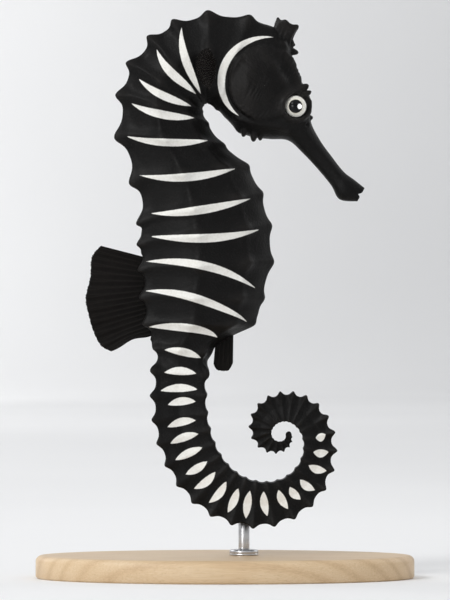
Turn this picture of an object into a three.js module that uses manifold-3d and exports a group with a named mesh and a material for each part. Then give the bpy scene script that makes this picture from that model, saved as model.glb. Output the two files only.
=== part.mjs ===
// A seahorse at life size: upright, head bowed, tail coiled forward, held on a low oval stand by one rod.
//
// Millimetres, +Z up. The animal faces +X and is the same on both sides of the plane Y = 0.
// Its own origin is the root of the tail; PLACE carries it onto the stand, whose foot is at Z = 0.
//
// The body is one tube. It is drawn by its bony rings: each ring has a point on the back, a point on the belly
// and a half width, and smooth curves join them. Ring numbers run down the animal. 1 to 11 are the trunk rings,
// 12 to 46 the tail rings, 0 is the neck ring, and the numbers below 0 are stations along the head and snout.
import * as THREE from "three";
import { mergeVertices } from "three/addons/utils/BufferGeometryUtils.js";
import Module from "manifold-3d";

const wasm = await Module();
wasm.setup();

// ---- Driving dimensions -------------------------------------------------------------------------------------

const TRUNK_RINGS = 11;
const TAIL_RINGS = 35;
const TAIL_ROOT = TRUNK_RINGS + 1;
const TAIL_TIP = TAIL_ROOT + TAIL_RINGS;
const GAP = 0.3; // clear space between neighbouring pieces

// The tail, at its root and at every fifth ring from there: where it heads, how long a ring is, how deep it is.
const TAIL_HEADINGS = [-99, -66, -4, 71, 153, 244, 356, 464]; // degrees from +X towards +Z
const TAIL_PITCHES = [4.7, 3.75, 3.2, 3.1, 1.85, 1.6, 1.25, 0.55];
const TAIL_HALF_DEPTHS = [5.9, 5.8, 4.8, 3.4, 3.2, 2.7, 1.3, 0.7];
const RINGS_PER_VALUE = 5;
const TAIL_WIDTH_SHARE = 0.92;

const EYE = { x: 22.1, y: 3.2, z: 47.9, radius: 2.3 };
const SOCKET = { reach: 3.1, height: 0.9 }; // the rise in the skin round each eye
const GILL_COVER = { x: 13.8, z: 51, reach: 7, height: 0.8 };
const CORONET = { foot: [19.5, 61.0], top: [20.6, 64.8], stem: 1.7, crown: 2.05, points: 5 };
const ROD = { x: 11.8, radius: 1.1, intoTail: 3.2, intoBase: 3.2 };
const ROD_SHOWN = 5.5;
const TAIL_DROP = 36.5; // from the tail's root down to its lowest point
const BASE = { length: 76, width: 46, thickness: 4.6, bevel: 0.8 };
const COLLAR = { radius: 2.9, height: 1.1, chamfer: 0.25, clear: 0.05 };

const PLACE = new THREE.Vector3(-8, 0, BASE.thickness + ROD_SHOWN + TAIL_DROP);

// Stations of the head, neck and trunk: number, back [x, z], belly [x, z], half width.
const STATIONS = [
  [-11, [36.0, 31.7], [34.5, 29.0], 1.2], // lips
  [-10, [34.0, 33.3], [31.0, 29.4], 2.0], // muzzle
  [-9, [31.8, 35.0], [29.3, 32.2], 1.75],
  [-8, [29.2, 38.3], [26.6, 35.5], 1.7],
  [-7, [27.0, 41.4], [23.6, 38.7], 2.0],
  [-6, [25.2, 45.2], [20.7, 41.2], 3.2], // root of the snout
  [-5, [25.0, 50.0], [17.0, 41.5], 4.4], // eyes
  [-4, [22.4, 54.9], [13.5, 41.9], 4.9],
  [-3, [21.5, 58.2], [10.7, 43.2], 5.3], // gill covers
  [-2, [20.2, 62.4], [8.4, 45.4], 5.4], // coronet
  [-1, [13.3, 66.8], [6.2, 47.4], 5.2], // nape
  [0, [4.9, 67.3], [4.7, 48.7], 5.4], // neck ring
  [1, [-2.0, 65.6], [4.2, 48.6], 5.7],
  [2, [-7.1, 62.5], [3.8, 48.2], 6.1],
  [3, [-11.5, 57.3], [3.7, 47.0], 6.5],
  [4, [-13.8, 51.0], [4.8, 44.8], 6.9],
  [5, [-14.3, 42.5], [8.0, 40.6], 7.3],
  [6, [-11.4, 33.4], [12.9, 36.4], 7.7],
  [7, [-9.8, 25.0], [15.8, 30.8], 8.0],
  [8, [-9.6, 20.7], [17.6, 24.2], 8.2],
  [9, [-9.4, 15.7], [18.0, 16.8], 8.2],
  [10, [-9.2, 10.2], [16.1, 9.4], 7.9],
  [11, [-8.6, 4.8], [14.1, 4.2], 7.0],
  [TAIL_ROOT, [-6.6, -0.2], [5.5, -1.4], 5.7],
];
const FIRST = STATIONS[0][0];

// Corners of a cross-section, as shares of half depth and half width, from the middle of the back down one side
// to the middle of the belly. The trunk has seven ridges and the tail four; the head is a plain oval.
const CORNER_ANGLES = [0, 30, 90, 135, 180].map(THREE.MathUtils.degToRad);
const HEAD_CORNERS = CORNER_ANGLES.map((a) => [Math.cos(a), Math.sin(a)]);
const TRUNK_CORNERS = [[0.96, 0], [1, 0.4], [0.12, 1], [-0.62, 0.74], [-1, 0]];
const TAIL_CORNERS = [[0.88, 0], [1, 0.92], [0, 0.86], [-1, 0.92], [-0.88, 0]];
const EDGE_BULGE = 0.06; // how far the side of a plate bows out between two ridges
const RIDGE_ANGLES = CORNER_ANGLES.slice(1);
const RIDGE_ON_TAIL = [1, 0, 1, 0]; // which of these ridges go on down the tail

const KNOB_SHARE = { back: 0.26, belly: 0.12 }; // height of a ring's knobs, as a share of the ring's length
const KNOB_MOST = 1.9;
const KNOB_POWER = 2.4;
const KNOB_REACH = 1.7; // how far round the body a knob spreads
const RIB_SHARE = 0.4; // height of the low rib that joins a ring's knobs, as a share of the knobs
const RIB_POWER = 3;

// ---- Curves --------------------------------------------------------------------------------------------------

// A smooth curve through evenly spaced values, read at a fractional index.
function through(values, index) {
  const last = values.length - 1;
  const i = Math.min(Math.max(Math.floor(index), 0), last - 1);
  const t = index - i;
  const at = (k) => values[Math.min(Math.max(k, 0), last)];
  const [a, b, c, d] = [at(i - 1), at(i), at(i + 1), at(i + 2)];
  return b + 0.5 * t * (c - a + t * (2 * a - 5 * b + 4 * c - d + t * (3 * (b - c) + d - a)));
}

function smoothstep(low, high, value) {
  return THREE.MathUtils.smoothstep(value, low, high);
}

// The tail's rings, walked from the root: the heading turns through a coil while the tube tapers.
function tailStations() {
  const rows = [];
  const [, rootBack, rootBelly] = STATIONS.at(-1);
  const middle = rootBack.map((value, k) => (value + rootBelly[k]) / 2);
  const steps = 20;
  for (let ring = 1; ring <= TAIL_RINGS; ring++) {
    for (let k = 0; k < steps; k++) {
      const index = (ring - 1 + (k + 0.5) / steps) / RINGS_PER_VALUE;
      const heading = THREE.MathUtils.degToRad(through(TAIL_HEADINGS, index));
      const step = through(TAIL_PITCHES, index) / steps;
      middle[0] += step * Math.cos(heading);
      middle[1] += step * Math.sin(heading);
    }
    const heading = THREE.MathUtils.degToRad(through(TAIL_HEADINGS, ring / RINGS_PER_VALUE));
    const half = through(TAIL_HALF_DEPTHS, ring / RINGS_PER_VALUE);
    const out = [Math.sin(heading) * half, -Math.cos(heading) * half];
    const back = [middle[0] + out[0], middle[1] + out[1]];
    const belly = [middle[0] - out[0], middle[1] - out[1]];
    rows.push([TAIL_ROOT + ring, back, belly, half * TAIL_WIDTH_SHARE]);
  }
  return rows;
}

const RINGS = [...STATIONS, ...tailStations()];
const BACK_X = RINGS.map((row) => row[1][0]);
const BACK_Z = RINGS.map((row) => row[1][1]);
const BELLY_X = RINGS.map((row) => row[2][0]);
const BELLY_Z = RINGS.map((row) => row[2][1]);
const HALF_WIDTH = RINGS.map((row) => row[3]);

function ringLine(w) {
  const index = w - FIRST;
  const back = new THREE.Vector2(through(BACK_X, index), through(BACK_Z, index));
  const belly = new THREE.Vector2(through(BELLY_X, index), through(BELLY_Z, index));
  return { back, belly, halfWidth: through(HALF_WIDTH, index) };
}

// ---- The body's surface --------------------------------------------------------------------------------------

function mixCorners(a, b, share) {
  return a.map((corner, k) => corner.map((value, axis) => value + (b[k][axis] - value) * share));
}

// How far the section has changed from the trunk's shape to the tail's.
function tailness(w) {
  return smoothstep(TAIL_ROOT - 1, TAIL_ROOT + 2, w);
}

// Where a cross-section runs at an angle round from the back, in shares of half depth and half width.
function sectionPoint(w, angle) {
  const trunk = smoothstep(-2.5, 0.5, w);
  const corners = mixCorners(mixCorners(HEAD_CORNERS, TRUNK_CORNERS, trunk), TAIL_CORNERS, tailness(w));
  const k = Math.max(CORNER_ANGLES.findLastIndex((a) => a <= angle + 1e-9), 0);
  const i = Math.min(k, CORNER_ANGLES.length - 2);
  const t = (angle - CORNER_ANGLES[i]) / (CORNER_ANGLES[i + 1] - CORNER_ANGLES[i]);
  const bow = 1 + EDGE_BULGE * 4 * t * (1 - t);
  const edge = [0, 1].map((axis) => (corners[i][axis] * (1 - t) + corners[i + 1][axis] * t) * bow);
  const oval = [Math.cos(angle), Math.sin(angle)];
  return edge.map((value, axis) => oval[axis] + (value - oval[axis]) * trunk);
}

// Swellings of the head: the socket that each eye stands in, and the domed gill cover.
function headSwelling(x, z) {
  const fromEye = Math.hypot(x - EYE.x, z - EYE.z) / SOCKET.reach;
  const fromCover = Math.hypot(x - GILL_COVER.x, z - GILL_COVER.z) / GILL_COVER.reach;
  return SOCKET.height * Math.exp(-(fromEye ** 4)) + GILL_COVER.height * Math.max(0, 1 - fromCover ** 2);
}

// A point of the skin at ring number w and angle round from the back, pushed out by grow. side is 1 or -1.
function skinPoint(w, angle, side, grow = 0) {
  const { back, belly, halfWidth } = ringLine(w);
  const next = ringLine(Math.min(w + 0.5, TAIL_TIP));
  const before = ringLine(Math.max(w - 0.5, FIRST));
  const backPitch = next.back.distanceTo(before.back);
  const bellyPitch = next.belly.distanceTo(before.belly);
  const [depthShare, widthShare] = sectionPoint(w, angle);
  const towardBack = THREE.MathUtils.clamp(0.5 + 0.5 * depthShare, 0, 1);
  const pitch = THREE.MathUtils.lerp(bellyPitch, backPitch, towardBack);
  const share = THREE.MathUtils.lerp(KNOB_SHARE.belly, KNOB_SHARE.back, towardBack);
  const ringed = smoothstep(-1.9, -0.9, w) * (1 - smoothstep(TAIL_TIP - 1.5, TAIL_TIP, w));
  const height = ringed * Math.min(KNOB_MOST, share * pitch);
  const phase = Math.abs(w - Math.round(w)) * 2;
  const knob = Math.max(...RIDGE_ANGLES.map((ridge, k) => {
    const around = (Math.abs(ridge - angle) * halfWidth) / KNOB_REACH;
    return THREE.MathUtils.lerp(1, RIDGE_ON_TAIL[k], tailness(w)) * Math.exp(-(around ** 2));
  }));
  const lift = knob * (1 - phase) ** KNOB_POWER + (1 - knob) * RIB_SHARE * (1 - phase) ** RIB_POWER;
  const halfDepth = back.distanceTo(belly) / 2;
  const out = grow - height * (1 - lift);
  const depth = depthShare * (halfDepth + out);
  const width = widthShare * (halfWidth + out);
  const up = back.clone().sub(belly).normalize();
  const middle = back.clone().add(belly).multiplyScalar(0.5);
  const x = middle.x + up.x * depth;
  const z = middle.y + up.y * depth;
  const swelling = w < 0 ? headSwelling(x, z) * widthShare : 0;
  return new THREE.Vector3(x, side * (width + swelling), z);
}

// ---- Building pieces -----------------------------------------------------------------------------------------

// Where the body is parted into lengths, as ring numbers.
const TAIL_START = TAIL_ROOT - 0.5;
const PARTS = {
  snout: [FIRST, -7],
  head: [-7, -1.5],
  neck: [-1.5, 1.5],
  trunk_upper: [1.5, 5.5],
  trunk_middle: [5.5, 8.5],
  trunk_lower: [8.5, TAIL_START],
};
const TAIL_CUTS = [TAIL_START, 15.5, 19.5, 23.5, 27.5, 31.5, 35.5, 39.5, 43, TAIL_TIP];
TAIL_CUTS.slice(1).forEach((to, k) => {
  PARTS["tail_" + (k + 1)] = [TAIL_CUTS[k], to];
});
const ROD_PART = "tail_3"; // the length at the tail's lowest point takes the rod

function solid(geometry) {
  const bare = geometry.index ? geometry.toNonIndexed() : geometry.clone();
  bare.deleteAttribute("normal");
  bare.deleteAttribute("uv");
  const merged = mergeVertices(bare, 1e-4);
  const vertProperties = merged.attributes.position.array;
  const triVerts = new Uint32Array(merged.index.array);
  return new wasm.Manifold(new wasm.Mesh({ numProp: 3, vertProperties, triVerts }));
}

function geometryOf(made) {
  const { numProp, vertProperties, triVerts } = made.getMesh();
  const positions = new Float32Array((vertProperties.length / numProp) * 3);
  for (let i = 0; i < positions.length / 3; i++) {
    positions.set(vertProperties.subarray(i * numProp, i * numProp + 3), i * 3);
  }
  const geometry = new THREE.BufferGeometry();
  geometry.setAttribute("position", new THREE.BufferAttribute(positions, 3));
  geometry.setIndex(new THREE.BufferAttribute(new Uint32Array(triVerts), 1));
  return geometry;
}

// Moves every vertex of a geometry to where a function of its old place says.
function reshape(geometry, place) {
  const position = geometry.attributes.position;
  const old = new THREE.Vector3();
  for (let i = 0; i < position.count; i++) {
    const to = place(old.fromBufferAttribute(position, i));
    position.setXYZ(i, to.x, to.y, to.z);
  }
  return geometry;
}

// A length of the body between two ring numbers: a cylinder whose rows are laid on the body's cross-sections.
// shares says where the rows of each ring lie: at its knobs (0) and in the dip after them.
function bodyLength(from, to, shares, around, grow = 0) {
  const rows = [from];
  for (let ring = Math.floor(from); ring < to; ring++) {
    const inside = shares.map((share) => ring + share).filter((w) => w > from + 0.1 && w < to - 0.1);
    rows.push(...inside);
  }
  rows.push(to);
  const tube = new THREE.CylinderGeometry(1, 1, 1, around, rows.length - 1);
  return reshape(tube, (p) => {
    const w = rows[Math.round((0.5 - p.y) * (rows.length - 1))];
    const angle = Math.atan2(Math.abs(p.x), p.z);
    const side = p.x < 0 ? 1 : -1;
    if (Math.hypot(p.x, p.z) > 0.5) return skinPoint(w, angle, side, grow);
    const { back, belly } = ringLine(w); // the middle of an end face
    return new THREE.Vector3((back.x + belly.x) / 2, 0, (back.y + belly.y) / 2);
  });
}

// Half the gap to the next length of the body, as a share of the ring there.
function gapAt(w) {
  const ahead = ringLine(w + 0.5);
  const behind = ringLine(w - 0.5);
  const middle = (line) => line.back.clone().add(line.belly).multiplyScalar(0.5);
  return GAP / 2 / middle(ahead).distanceTo(middle(behind));
}

// How finely a length of the body is faceted: the rows of a ring, and the points around it.
function facets([from]) {
  if (from < PARTS.head[0]) return [[0, 0.5], 16];
  if (from < PARTS.neck[0]) return [[0, 0.33, 0.67], 24];
  return from < TAIL_START ? [[0, 0.3, 0.7], 24] : [[0, 0.5], 16];
}

// A length of the body, held back from its neighbours by half the gap.
function between([from, to]) {
  const start = from > FIRST ? from + gapAt(from) : from;
  const end = to < TAIL_TIP ? to - gapAt(to) : to;
  return bodyLength(start, end, ...facets([from]));
}

// What a piece beside these lengths of the body is cut by, so that it clears them by the gap.
function clearance(...lengths) {
  const grown = lengths.map(([from, to]) => solid(bodyLength(from, to, ...facets([from]), GAP)));
  return grown.reduce((all, one) => all.add(one));
}

// A thin upright sheet: a flat box whose two faces are laid either side of a surface, tapering to its rim.
function sheet(columns, rows, place, thickness) {
  const box = new THREE.BoxGeometry(1, 1, 1, columns, rows, 1);
  return reshape(box, (p) => {
    const [across, out] = [p.x + 0.5, p.y + 0.5];
    const half = (thickness / 2) * (1 - 0.15 * out);
    const at = place(across, out);
    at.y += p.z > 0 ? half : -half;
    return at;
  });
}

const root = new THREE.Group();
root.name = "seahorse";
const animal = new THREE.Group();
animal.position.copy(PLACE);
root.add(animal);

function add(group, name, geometry, material) {
  const mesh = new THREE.Mesh(geometry, material);
  mesh.name = name;
  group.add(mesh);
}

const skin = new THREE.MeshStandardMaterial({ color: 0x1a1817, roughness: 0.5, metalness: 0 });
const fin = new THREE.MeshStandardMaterial({ color: 0x24201d, roughness: 0.45, metalness: 0 });
const eye = new THREE.MeshStandardMaterial({ color: 0xe6e2d2, roughness: 0.1, metalness: 0 });
const wood = new THREE.MeshStandardMaterial({ color: 0xd8c29c, roughness: 0.5, metalness: 0 });
const steel = new THREE.MeshStandardMaterial({ color: 0xb9bbbd, roughness: 0.3, metalness: 1 });

// ---- Head ----------------------------------------------------------------------------------------------------

function eyeBall(side, radius) {
  return new THREE.SphereGeometry(radius, 16, 10).translate(EYE.x, side * EYE.y, EYE.z);
}

// Blunt spines of the head: foot and tip [x, z], and how far they stand from the middle plane (0 is a single one).
const SPINES = [
  { foot: [23.2, 51.6], tip: [24.9, 53.0], aside: 2.6, radius: 0.75 }, // over the eyes
  { foot: [23.9, 50.2], tip: [25.4, 50.9], aside: 2.4, radius: 0.6 },
  { foot: [24.3, 45.6], tip: [25.8, 46.1], aside: 0, radius: 0.7 }, // on the nose
  { foot: [20.9, 59.2], tip: [22.6, 58.9], aside: 0, radius: 0.7 }, // on the brow, below the coronet
  { foot: [20.7, 60.2], tip: [22.1, 60.2], aside: 0, radius: 0.5 },
  { foot: [15.4, 42.8], tip: [15.1, 41.3], aside: 1.5, radius: 0.5 }, // along the lower edge of the gill covers
  { foot: [13.9, 43.0], tip: [13.6, 41.0], aside: 1.5, radius: 0.6 },
  { foot: [12.2, 43.7], tip: [11.6, 42.0], aside: 1.6, radius: 0.55 },
];

function spine({ foot, tip, radius }, y) {
  const from = new THREE.Vector3(foot[0], y, foot[1]);
  const along = new THREE.Vector3(tip[0], y, tip[1]).sub(from);
  const cone = new THREE.CylinderGeometry(radius * 0.45, radius, along.length(), 5);
  cone.translate(0, along.length() / 2, 0);
  const turn = new THREE.Quaternion().setFromUnitVectors(new THREE.Vector3(0, 1, 0), along.clone().normalize());
  return cone.applyQuaternion(turn).translate(from.x, from.y, from.z);
}

function makeHead() {
  let head = solid(between(PARTS.head));
  for (const row of SPINES) {
    for (const side of row.aside ? [1, -1] : [1]) head = head.add(solid(spine(row, side * row.aside)));
  }
  for (const side of [1, -1]) head = head.subtract(solid(eyeBall(side, EYE.radius + GAP)));
  add(animal, "head", geometryOf(head), skin);
  for (const [side, label] of [[1, "left"], [-1, "right"]]) {
    add(animal, "eye_" + label, eyeBall(side, EYE.radius), eye);
  }
}

// The snout is a tube with a flared muzzle; the mouth is a small slanting notch in its end.
function makeSnout() {
  const tube = solid(between(PARTS.snout));
  const lips = ringLine(FIRST);
  const gape = new THREE.CylinderGeometry(0.35, 0.35, 6, 10).scale(2.6, 1, 1);
  gape.rotateY(THREE.MathUtils.degToRad(15));
  gape.translate((lips.back.x + lips.belly.x) / 2 - 0.2, 0, (lips.back.y + lips.belly.y) / 2 + 0.3);
  add(animal, "snout", geometryOf(tube.subtract(solid(gape))), skin);
}

// A crown of blunt points that flares from a short stem, set on the head and cut to fit it.
function coronetShape() {
  const [foot, top] = [CORONET.foot, CORONET.top].map(([x, z]) => new THREE.Vector3(x, 0, z));
  const height = top.distanceTo(foot);
  const profile = [
    [0, 0],
    [CORONET.stem * 0.8, 0],
    [CORONET.stem, height * 0.55],
    [CORONET.crown * 0.92, height * 0.85],
    [CORONET.crown, height],
    [CORONET.crown * 0.55, height * 0.96],
    [0, height * 0.88],
  ].map(([r, y]) => new THREE.Vector2(r, y));
  const crown = new THREE.LatheGeometry(profile, CORONET.points * 4);
  reshape(crown, (p) => {
    const flare = smoothstep(0.4, 1, p.y / height);
    const lobe = Math.cos(CORONET.points * Math.atan2(p.z, p.x));
    const spread = 1 + flare * 0.2 * lobe;
    const rise = 1 + flare * 0.1 * lobe * smoothstep(0.3, 1, Math.hypot(p.x, p.z) / CORONET.crown);
    return new THREE.Vector3(p.x * spread, p.y * rise, p.z * spread);
  });
  const lean = new THREE.Quaternion();
  lean.setFromUnitVectors(new THREE.Vector3(0, 1, 0), top.clone().sub(foot).normalize());
  return crown.applyQuaternion(lean).translate(foot.x, foot.y, foot.z);
}

function makeCoronet() {
  const body = clearance(PARTS.head, PARTS.neck);
  add(animal, "coronet", geometryOf(solid(coronetShape()).subtract(body)), skin);
}

// ---- Neck, trunk and tail ------------------------------------------------------------------------------------

// The blind hole that the rod stands in, opening through the tail's underside.
function rodHole() {
  const radius = ROD.radius + GAP;
  const depth = ROD.intoTail + 2;
  const hole = new THREE.CylinderGeometry(radius, radius, depth, 16).rotateX(Math.PI / 2);
  return hole.translate(ROD.x, 0, -TAIL_DROP + ROD.intoTail - depth / 2 + GAP);
}

function makeTrunkAndTail() {
  for (const [name, length] of Object.entries(PARTS)) {
    if (name === "snout" || name === "head") continue;
    const whole = between(length);
    const shape = name === ROD_PART ? geometryOf(solid(whole).subtract(solid(rodHole()))) : whole;
    add(animal, name, shape, skin);
  }
}

// ---- Fins ----------------------------------------------------------------------------------------------------

const FIN_THICKNESS = 0.6;

// A fan between a straight root and a rounded, waved rim. Points are [x, z] in the plane of the fin.
function fanPoint(fan, across, out) {
  const rootEnd = fan.root.map((p) => new THREE.Vector2(...p));
  const rim = fan.rim.map((p) => new THREE.Vector2(...p));
  const foot = rootEnd[0].clone().lerp(rootEnd[1], across);
  const edge = new THREE.SplineCurve(rim).getPoint(across);
  return foot.lerp(edge, out);
}

const DORSAL_FAN = {
  root: [[-7.2, 17.5], [-6.2, 3.0]],
  rim: [
    [-16.9, 20.1], [-18.7, 17.8], [-19.0, 13.8], [-19.9, 9.6],
    [-19.3, 6.2], [-18.4, 3.0], [-16.9, 0.1], [-14.8, -1.1],
  ],
  ripple: 0.5,
  waves: 1.5,
};
const ANAL_FAN = {
  root: [[6.2, 2.4], [9.7, 3.0]],
  rim: [[5.7, -3.6], [6.3, -4.7], [7.6, -5.0], [8.8, -4.8], [9.6, -3.4]],
};
const PECTORAL_FAN = {
  root: [[6.2, 57.2], [6.2, 53.6]],
  rim: [[4.7, 59.5], [3.1, 58.7], [2.3, 56.7], [2.5, 54.4], [3.4, 52.4], [4.9, 51.2]],
};
const PECTORAL_STANCE = { root: 4.6, rim: 7.4 }; // how far out from the middle plane

// The part of a sheet that stands clear of the body.
function cutToBody(sheetGeometry, ...lengths) {
  const made = solid(sheetGeometry).subtract(clearance(...lengths));
  return geometryOf(made.decompose().sort((a, b) => b.volume() - a.volume())[0]);
}

function makeFins() {
  const dorsal = sheet(16, 4, (across, out) => {
    const p = fanPoint(DORSAL_FAN, across, out);
    const ripple = DORSAL_FAN.ripple * out * Math.sin(across * Math.PI * 2 * DORSAL_FAN.waves);
    return new THREE.Vector3(p.x, ripple, p.y);
  }, FIN_THICKNESS);
  add(animal, "dorsal_fin", cutToBody(dorsal, PARTS.trunk_middle, PARTS.trunk_lower, PARTS.tail_1), fin);

  const anal = sheet(6, 3, (across, out) => {
    const p = fanPoint(ANAL_FAN, across, out);
    return new THREE.Vector3(p.x, 0, p.y);
  }, FIN_THICKNESS);
  add(animal, "anal_fin", cutToBody(anal, PARTS.trunk_lower, PARTS.tail_1), fin);

  for (const [side, label] of [[1, "left"], [-1, "right"]]) {
    const pectoral = sheet(8, 4, (across, out) => {
      const p = fanPoint(PECTORAL_FAN, across, out);
      const stance = THREE.MathUtils.lerp(PECTORAL_STANCE.root, PECTORAL_STANCE.rim, Math.sqrt(out));
      return new THREE.Vector3(p.x, side * stance, p.y);
    }, FIN_THICKNESS);
    add(animal, "pectoral_fin_" + label, cutToBody(pectoral, PARTS.head, PARTS.neck, PARTS.trunk_upper), fin);
  }
}

// ---- Stand ---------------------------------------------------------------------------------------------------

function makeStand() {
  const rodX = ROD.x + PLACE.x;
  const oval = new THREE.Shape();
  const [a, b] = [BASE.length / 2 - BASE.bevel, BASE.width / 2 - BASE.bevel];
  oval.absellipse(0, 0, a, b, 0, Math.PI * 2);
  const slab = new THREE.ExtrudeGeometry(oval, {
    depth: BASE.thickness - 2 * BASE.bevel,
    bevelThickness: BASE.bevel,
    bevelSize: BASE.bevel,
    bevelSegments: 2,
    curveSegments: 14,
  }).translate(0, 0, BASE.bevel);
  const hole = new THREE.CylinderGeometry(ROD.radius + GAP, ROD.radius + GAP, BASE.thickness, 16);
  hole.rotateX(Math.PI / 2).translate(rodX, 0, BASE.thickness * 1.5 - ROD.intoBase - GAP);
  add(root, "stand_base", geometryOf(solid(slab).subtract(solid(hole))), wood);

  const rodLength = ROD.intoBase + ROD_SHOWN + ROD.intoTail;
  const rod = new THREE.CylinderGeometry(ROD.radius, ROD.radius, rodLength, 16).rotateX(Math.PI / 2);
  add(root, "stand_rod", rod.translate(rodX, 0, BASE.thickness - ROD.intoBase + rodLength / 2), steel);

  const inner = ROD.radius + GAP;
  const ring = [
    [inner, 0],
    [COLLAR.radius, 0],
    [COLLAR.radius, COLLAR.height - COLLAR.chamfer],
    [COLLAR.radius - COLLAR.chamfer, COLLAR.height],
    [inner, COLLAR.height],
    [inner, 0],
  ].map(([r, y]) => new THREE.Vector2(r, y));
  const collar = new THREE.LatheGeometry(ring, 16).rotateX(Math.PI / 2);
  add(root, "stand_collar", collar.translate(rodX, 0, BASE.thickness + COLLAR.clear), steel);
}

makeSnout();
makeHead();
makeCoronet();
makeTrunkAndTail();
makeFins();
makeStand();

export default root;
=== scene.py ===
# %% [markdown]
# # A life-size seahorse on a display stand
#
# The finished piece is a still model such as a museum shows: one dark seahorse with ivory bars, head bowed
# and tail coiled forward, held over a low wooden oval by a short steel rod. CAD made the solids, and they
# are only the frame here. This lesson dresses them: one bony skin, two eyes, four fins, the stand, and a
# small studio.

import bmesh
import bpy
import numpy as np
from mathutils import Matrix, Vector
from mathutils.kdtree import KDTree


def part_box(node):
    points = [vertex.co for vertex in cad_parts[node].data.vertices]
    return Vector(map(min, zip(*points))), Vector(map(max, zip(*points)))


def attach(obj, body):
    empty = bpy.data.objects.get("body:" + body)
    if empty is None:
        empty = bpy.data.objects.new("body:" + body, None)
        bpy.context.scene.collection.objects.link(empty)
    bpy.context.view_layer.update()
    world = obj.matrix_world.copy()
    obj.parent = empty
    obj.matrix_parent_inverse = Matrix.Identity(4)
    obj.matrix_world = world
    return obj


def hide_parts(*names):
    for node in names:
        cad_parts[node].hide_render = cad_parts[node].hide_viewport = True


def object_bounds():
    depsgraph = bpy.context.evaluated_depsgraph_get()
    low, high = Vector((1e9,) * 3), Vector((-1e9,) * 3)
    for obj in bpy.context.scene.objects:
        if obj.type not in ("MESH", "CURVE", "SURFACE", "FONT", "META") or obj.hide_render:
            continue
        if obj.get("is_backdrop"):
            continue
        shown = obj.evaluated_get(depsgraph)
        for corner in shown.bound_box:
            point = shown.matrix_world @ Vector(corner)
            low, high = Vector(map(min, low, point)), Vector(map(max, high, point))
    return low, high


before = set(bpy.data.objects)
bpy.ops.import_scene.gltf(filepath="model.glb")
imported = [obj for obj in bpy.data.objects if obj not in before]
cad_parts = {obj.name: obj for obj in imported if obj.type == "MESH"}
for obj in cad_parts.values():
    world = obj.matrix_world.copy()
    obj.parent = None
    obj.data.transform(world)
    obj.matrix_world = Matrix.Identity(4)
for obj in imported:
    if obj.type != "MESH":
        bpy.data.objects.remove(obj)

MM = 0.001
cad_low, cad_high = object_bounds()
print("CAD box in mm:", [round(side / MM, 1) for side in cad_high - cad_low])

# %% [markdown]
# ## Where the animal stands
#
# The animal is drawn in millimetres about the root of its tail, facing +X, with +Z up and its middle plane
# at Y = 0. Its left eye is a ball in the frame, so the difference between the two places carries the whole
# drawing onto the stand. Measuring the frame beats repeating the stand's height: if the stand grows, the
# skin follows.

# %% Find the animal's place
EYE = {"middle": (22.1, 3.2, 47.9), "radius": 2.3}


def middle_of(node):
    low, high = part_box(node)
    return (np.array(low) + np.array(high)) / 2 / MM


PLACE = middle_of("eye_left") - np.array(EYE["middle"])
print("the tail's root stands at", PLACE.round(2), "mm")

# %% [markdown]
# ## The body's curves
#
# A seahorse is a fish in armour: eleven bony rings round the trunk and some thirty-five down the tail. A
# ring meets the middle plane at one point on the back and one on the belly. Smooth curves through those
# points, and through the half widths, give the whole body as a tube. Rings 1 to 11 are the trunk, 12 and on
# the tail, and the numbers below 0 are stations along the head and snout. Sculpting freely would give the
# same look once, but a few curves keep skin, bars and relief tied to the same rings.

# %% Smooth curves, steps and bumps
def through(values, index):
    """A smooth curve through evenly spaced values, read at any places between them."""
    values = np.asarray(values, float)
    last = len(values) - 1
    start = np.clip(np.floor(index).astype(int), 0, last - 1)
    t = index - start
    if values.ndim > 1:
        t = t[..., None]
    a, b, c, d = (values[np.clip(start + step, 0, last)] for step in (-1, 0, 1, 2))
    return b + 0.5 * t * (c - a + t * (2 * a - 5 * b + 4 * c - d + t * (3 * (b - c) + d - a)))


def smoothstep(low, high, value):
    t = np.clip((value - low) / (high - low), 0, 1)
    return t * t * (3 - 2 * t)


def bump(distance, width):
    return np.exp(-((distance / width) ** 2))


print("a curve through 0, 1, 2 and 3, midway between the middle two:", through((0, 1, 2, 3), np.array(1.5)))

# %% Head, neck and trunk: back x, z, belly x, z, half width
FIRST, TAIL_ROOT, TAIL_TIP = -11, 12, 47
STATIONS = [
    (36.0, 31.7, 34.5, 29.0, 1.2),  # -11, lips
    (34.0, 33.3, 31.0, 29.4, 2.0),
    (31.8, 35.0, 29.3, 32.2, 1.75),
    (29.2, 38.3, 26.6, 35.5, 1.7),
    (27.0, 41.4, 23.6, 38.7, 2.0),
    (25.2, 45.2, 20.7, 41.2, 3.2),  # -6, root of the snout
    (25.0, 50.0, 17.0, 41.5, 4.4),  # -5, eyes
    (22.4, 54.9, 13.5, 41.9, 4.9),
    (21.5, 58.2, 10.7, 43.2, 5.3),  # -3, gill covers
    (20.2, 62.4, 8.4, 45.4, 5.4),
    (13.3, 66.8, 6.2, 47.4, 5.2),  # -1, nape
    (4.9, 67.3, 4.7, 48.7, 5.4),  # 0, neck ring
    (-2.0, 65.6, 4.2, 48.6, 5.7),
    (-7.1, 62.5, 3.8, 48.2, 6.1),
    (-11.5, 57.3, 3.7, 47.0, 6.5),
    (-13.8, 51.0, 4.8, 44.8, 6.9),
    (-14.3, 42.5, 8.0, 40.6, 7.3),
    (-11.4, 33.4, 12.9, 36.4, 7.7),
    (-9.8, 25.0, 15.8, 30.8, 8.0),
    (-9.6, 20.7, 17.6, 24.2, 8.2),
    (-9.4, 15.7, 18.0, 16.8, 8.2),
    (-9.2, 10.2, 16.1, 9.4, 7.9),
    (-8.6, 4.8, 14.1, 4.2, 7.0),
    (-6.6, -0.2, 5.5, -1.4, 5.7),  # 12, root of the tail
]
print(len(STATIONS), "stations from the lips to the root of the tail")

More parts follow.
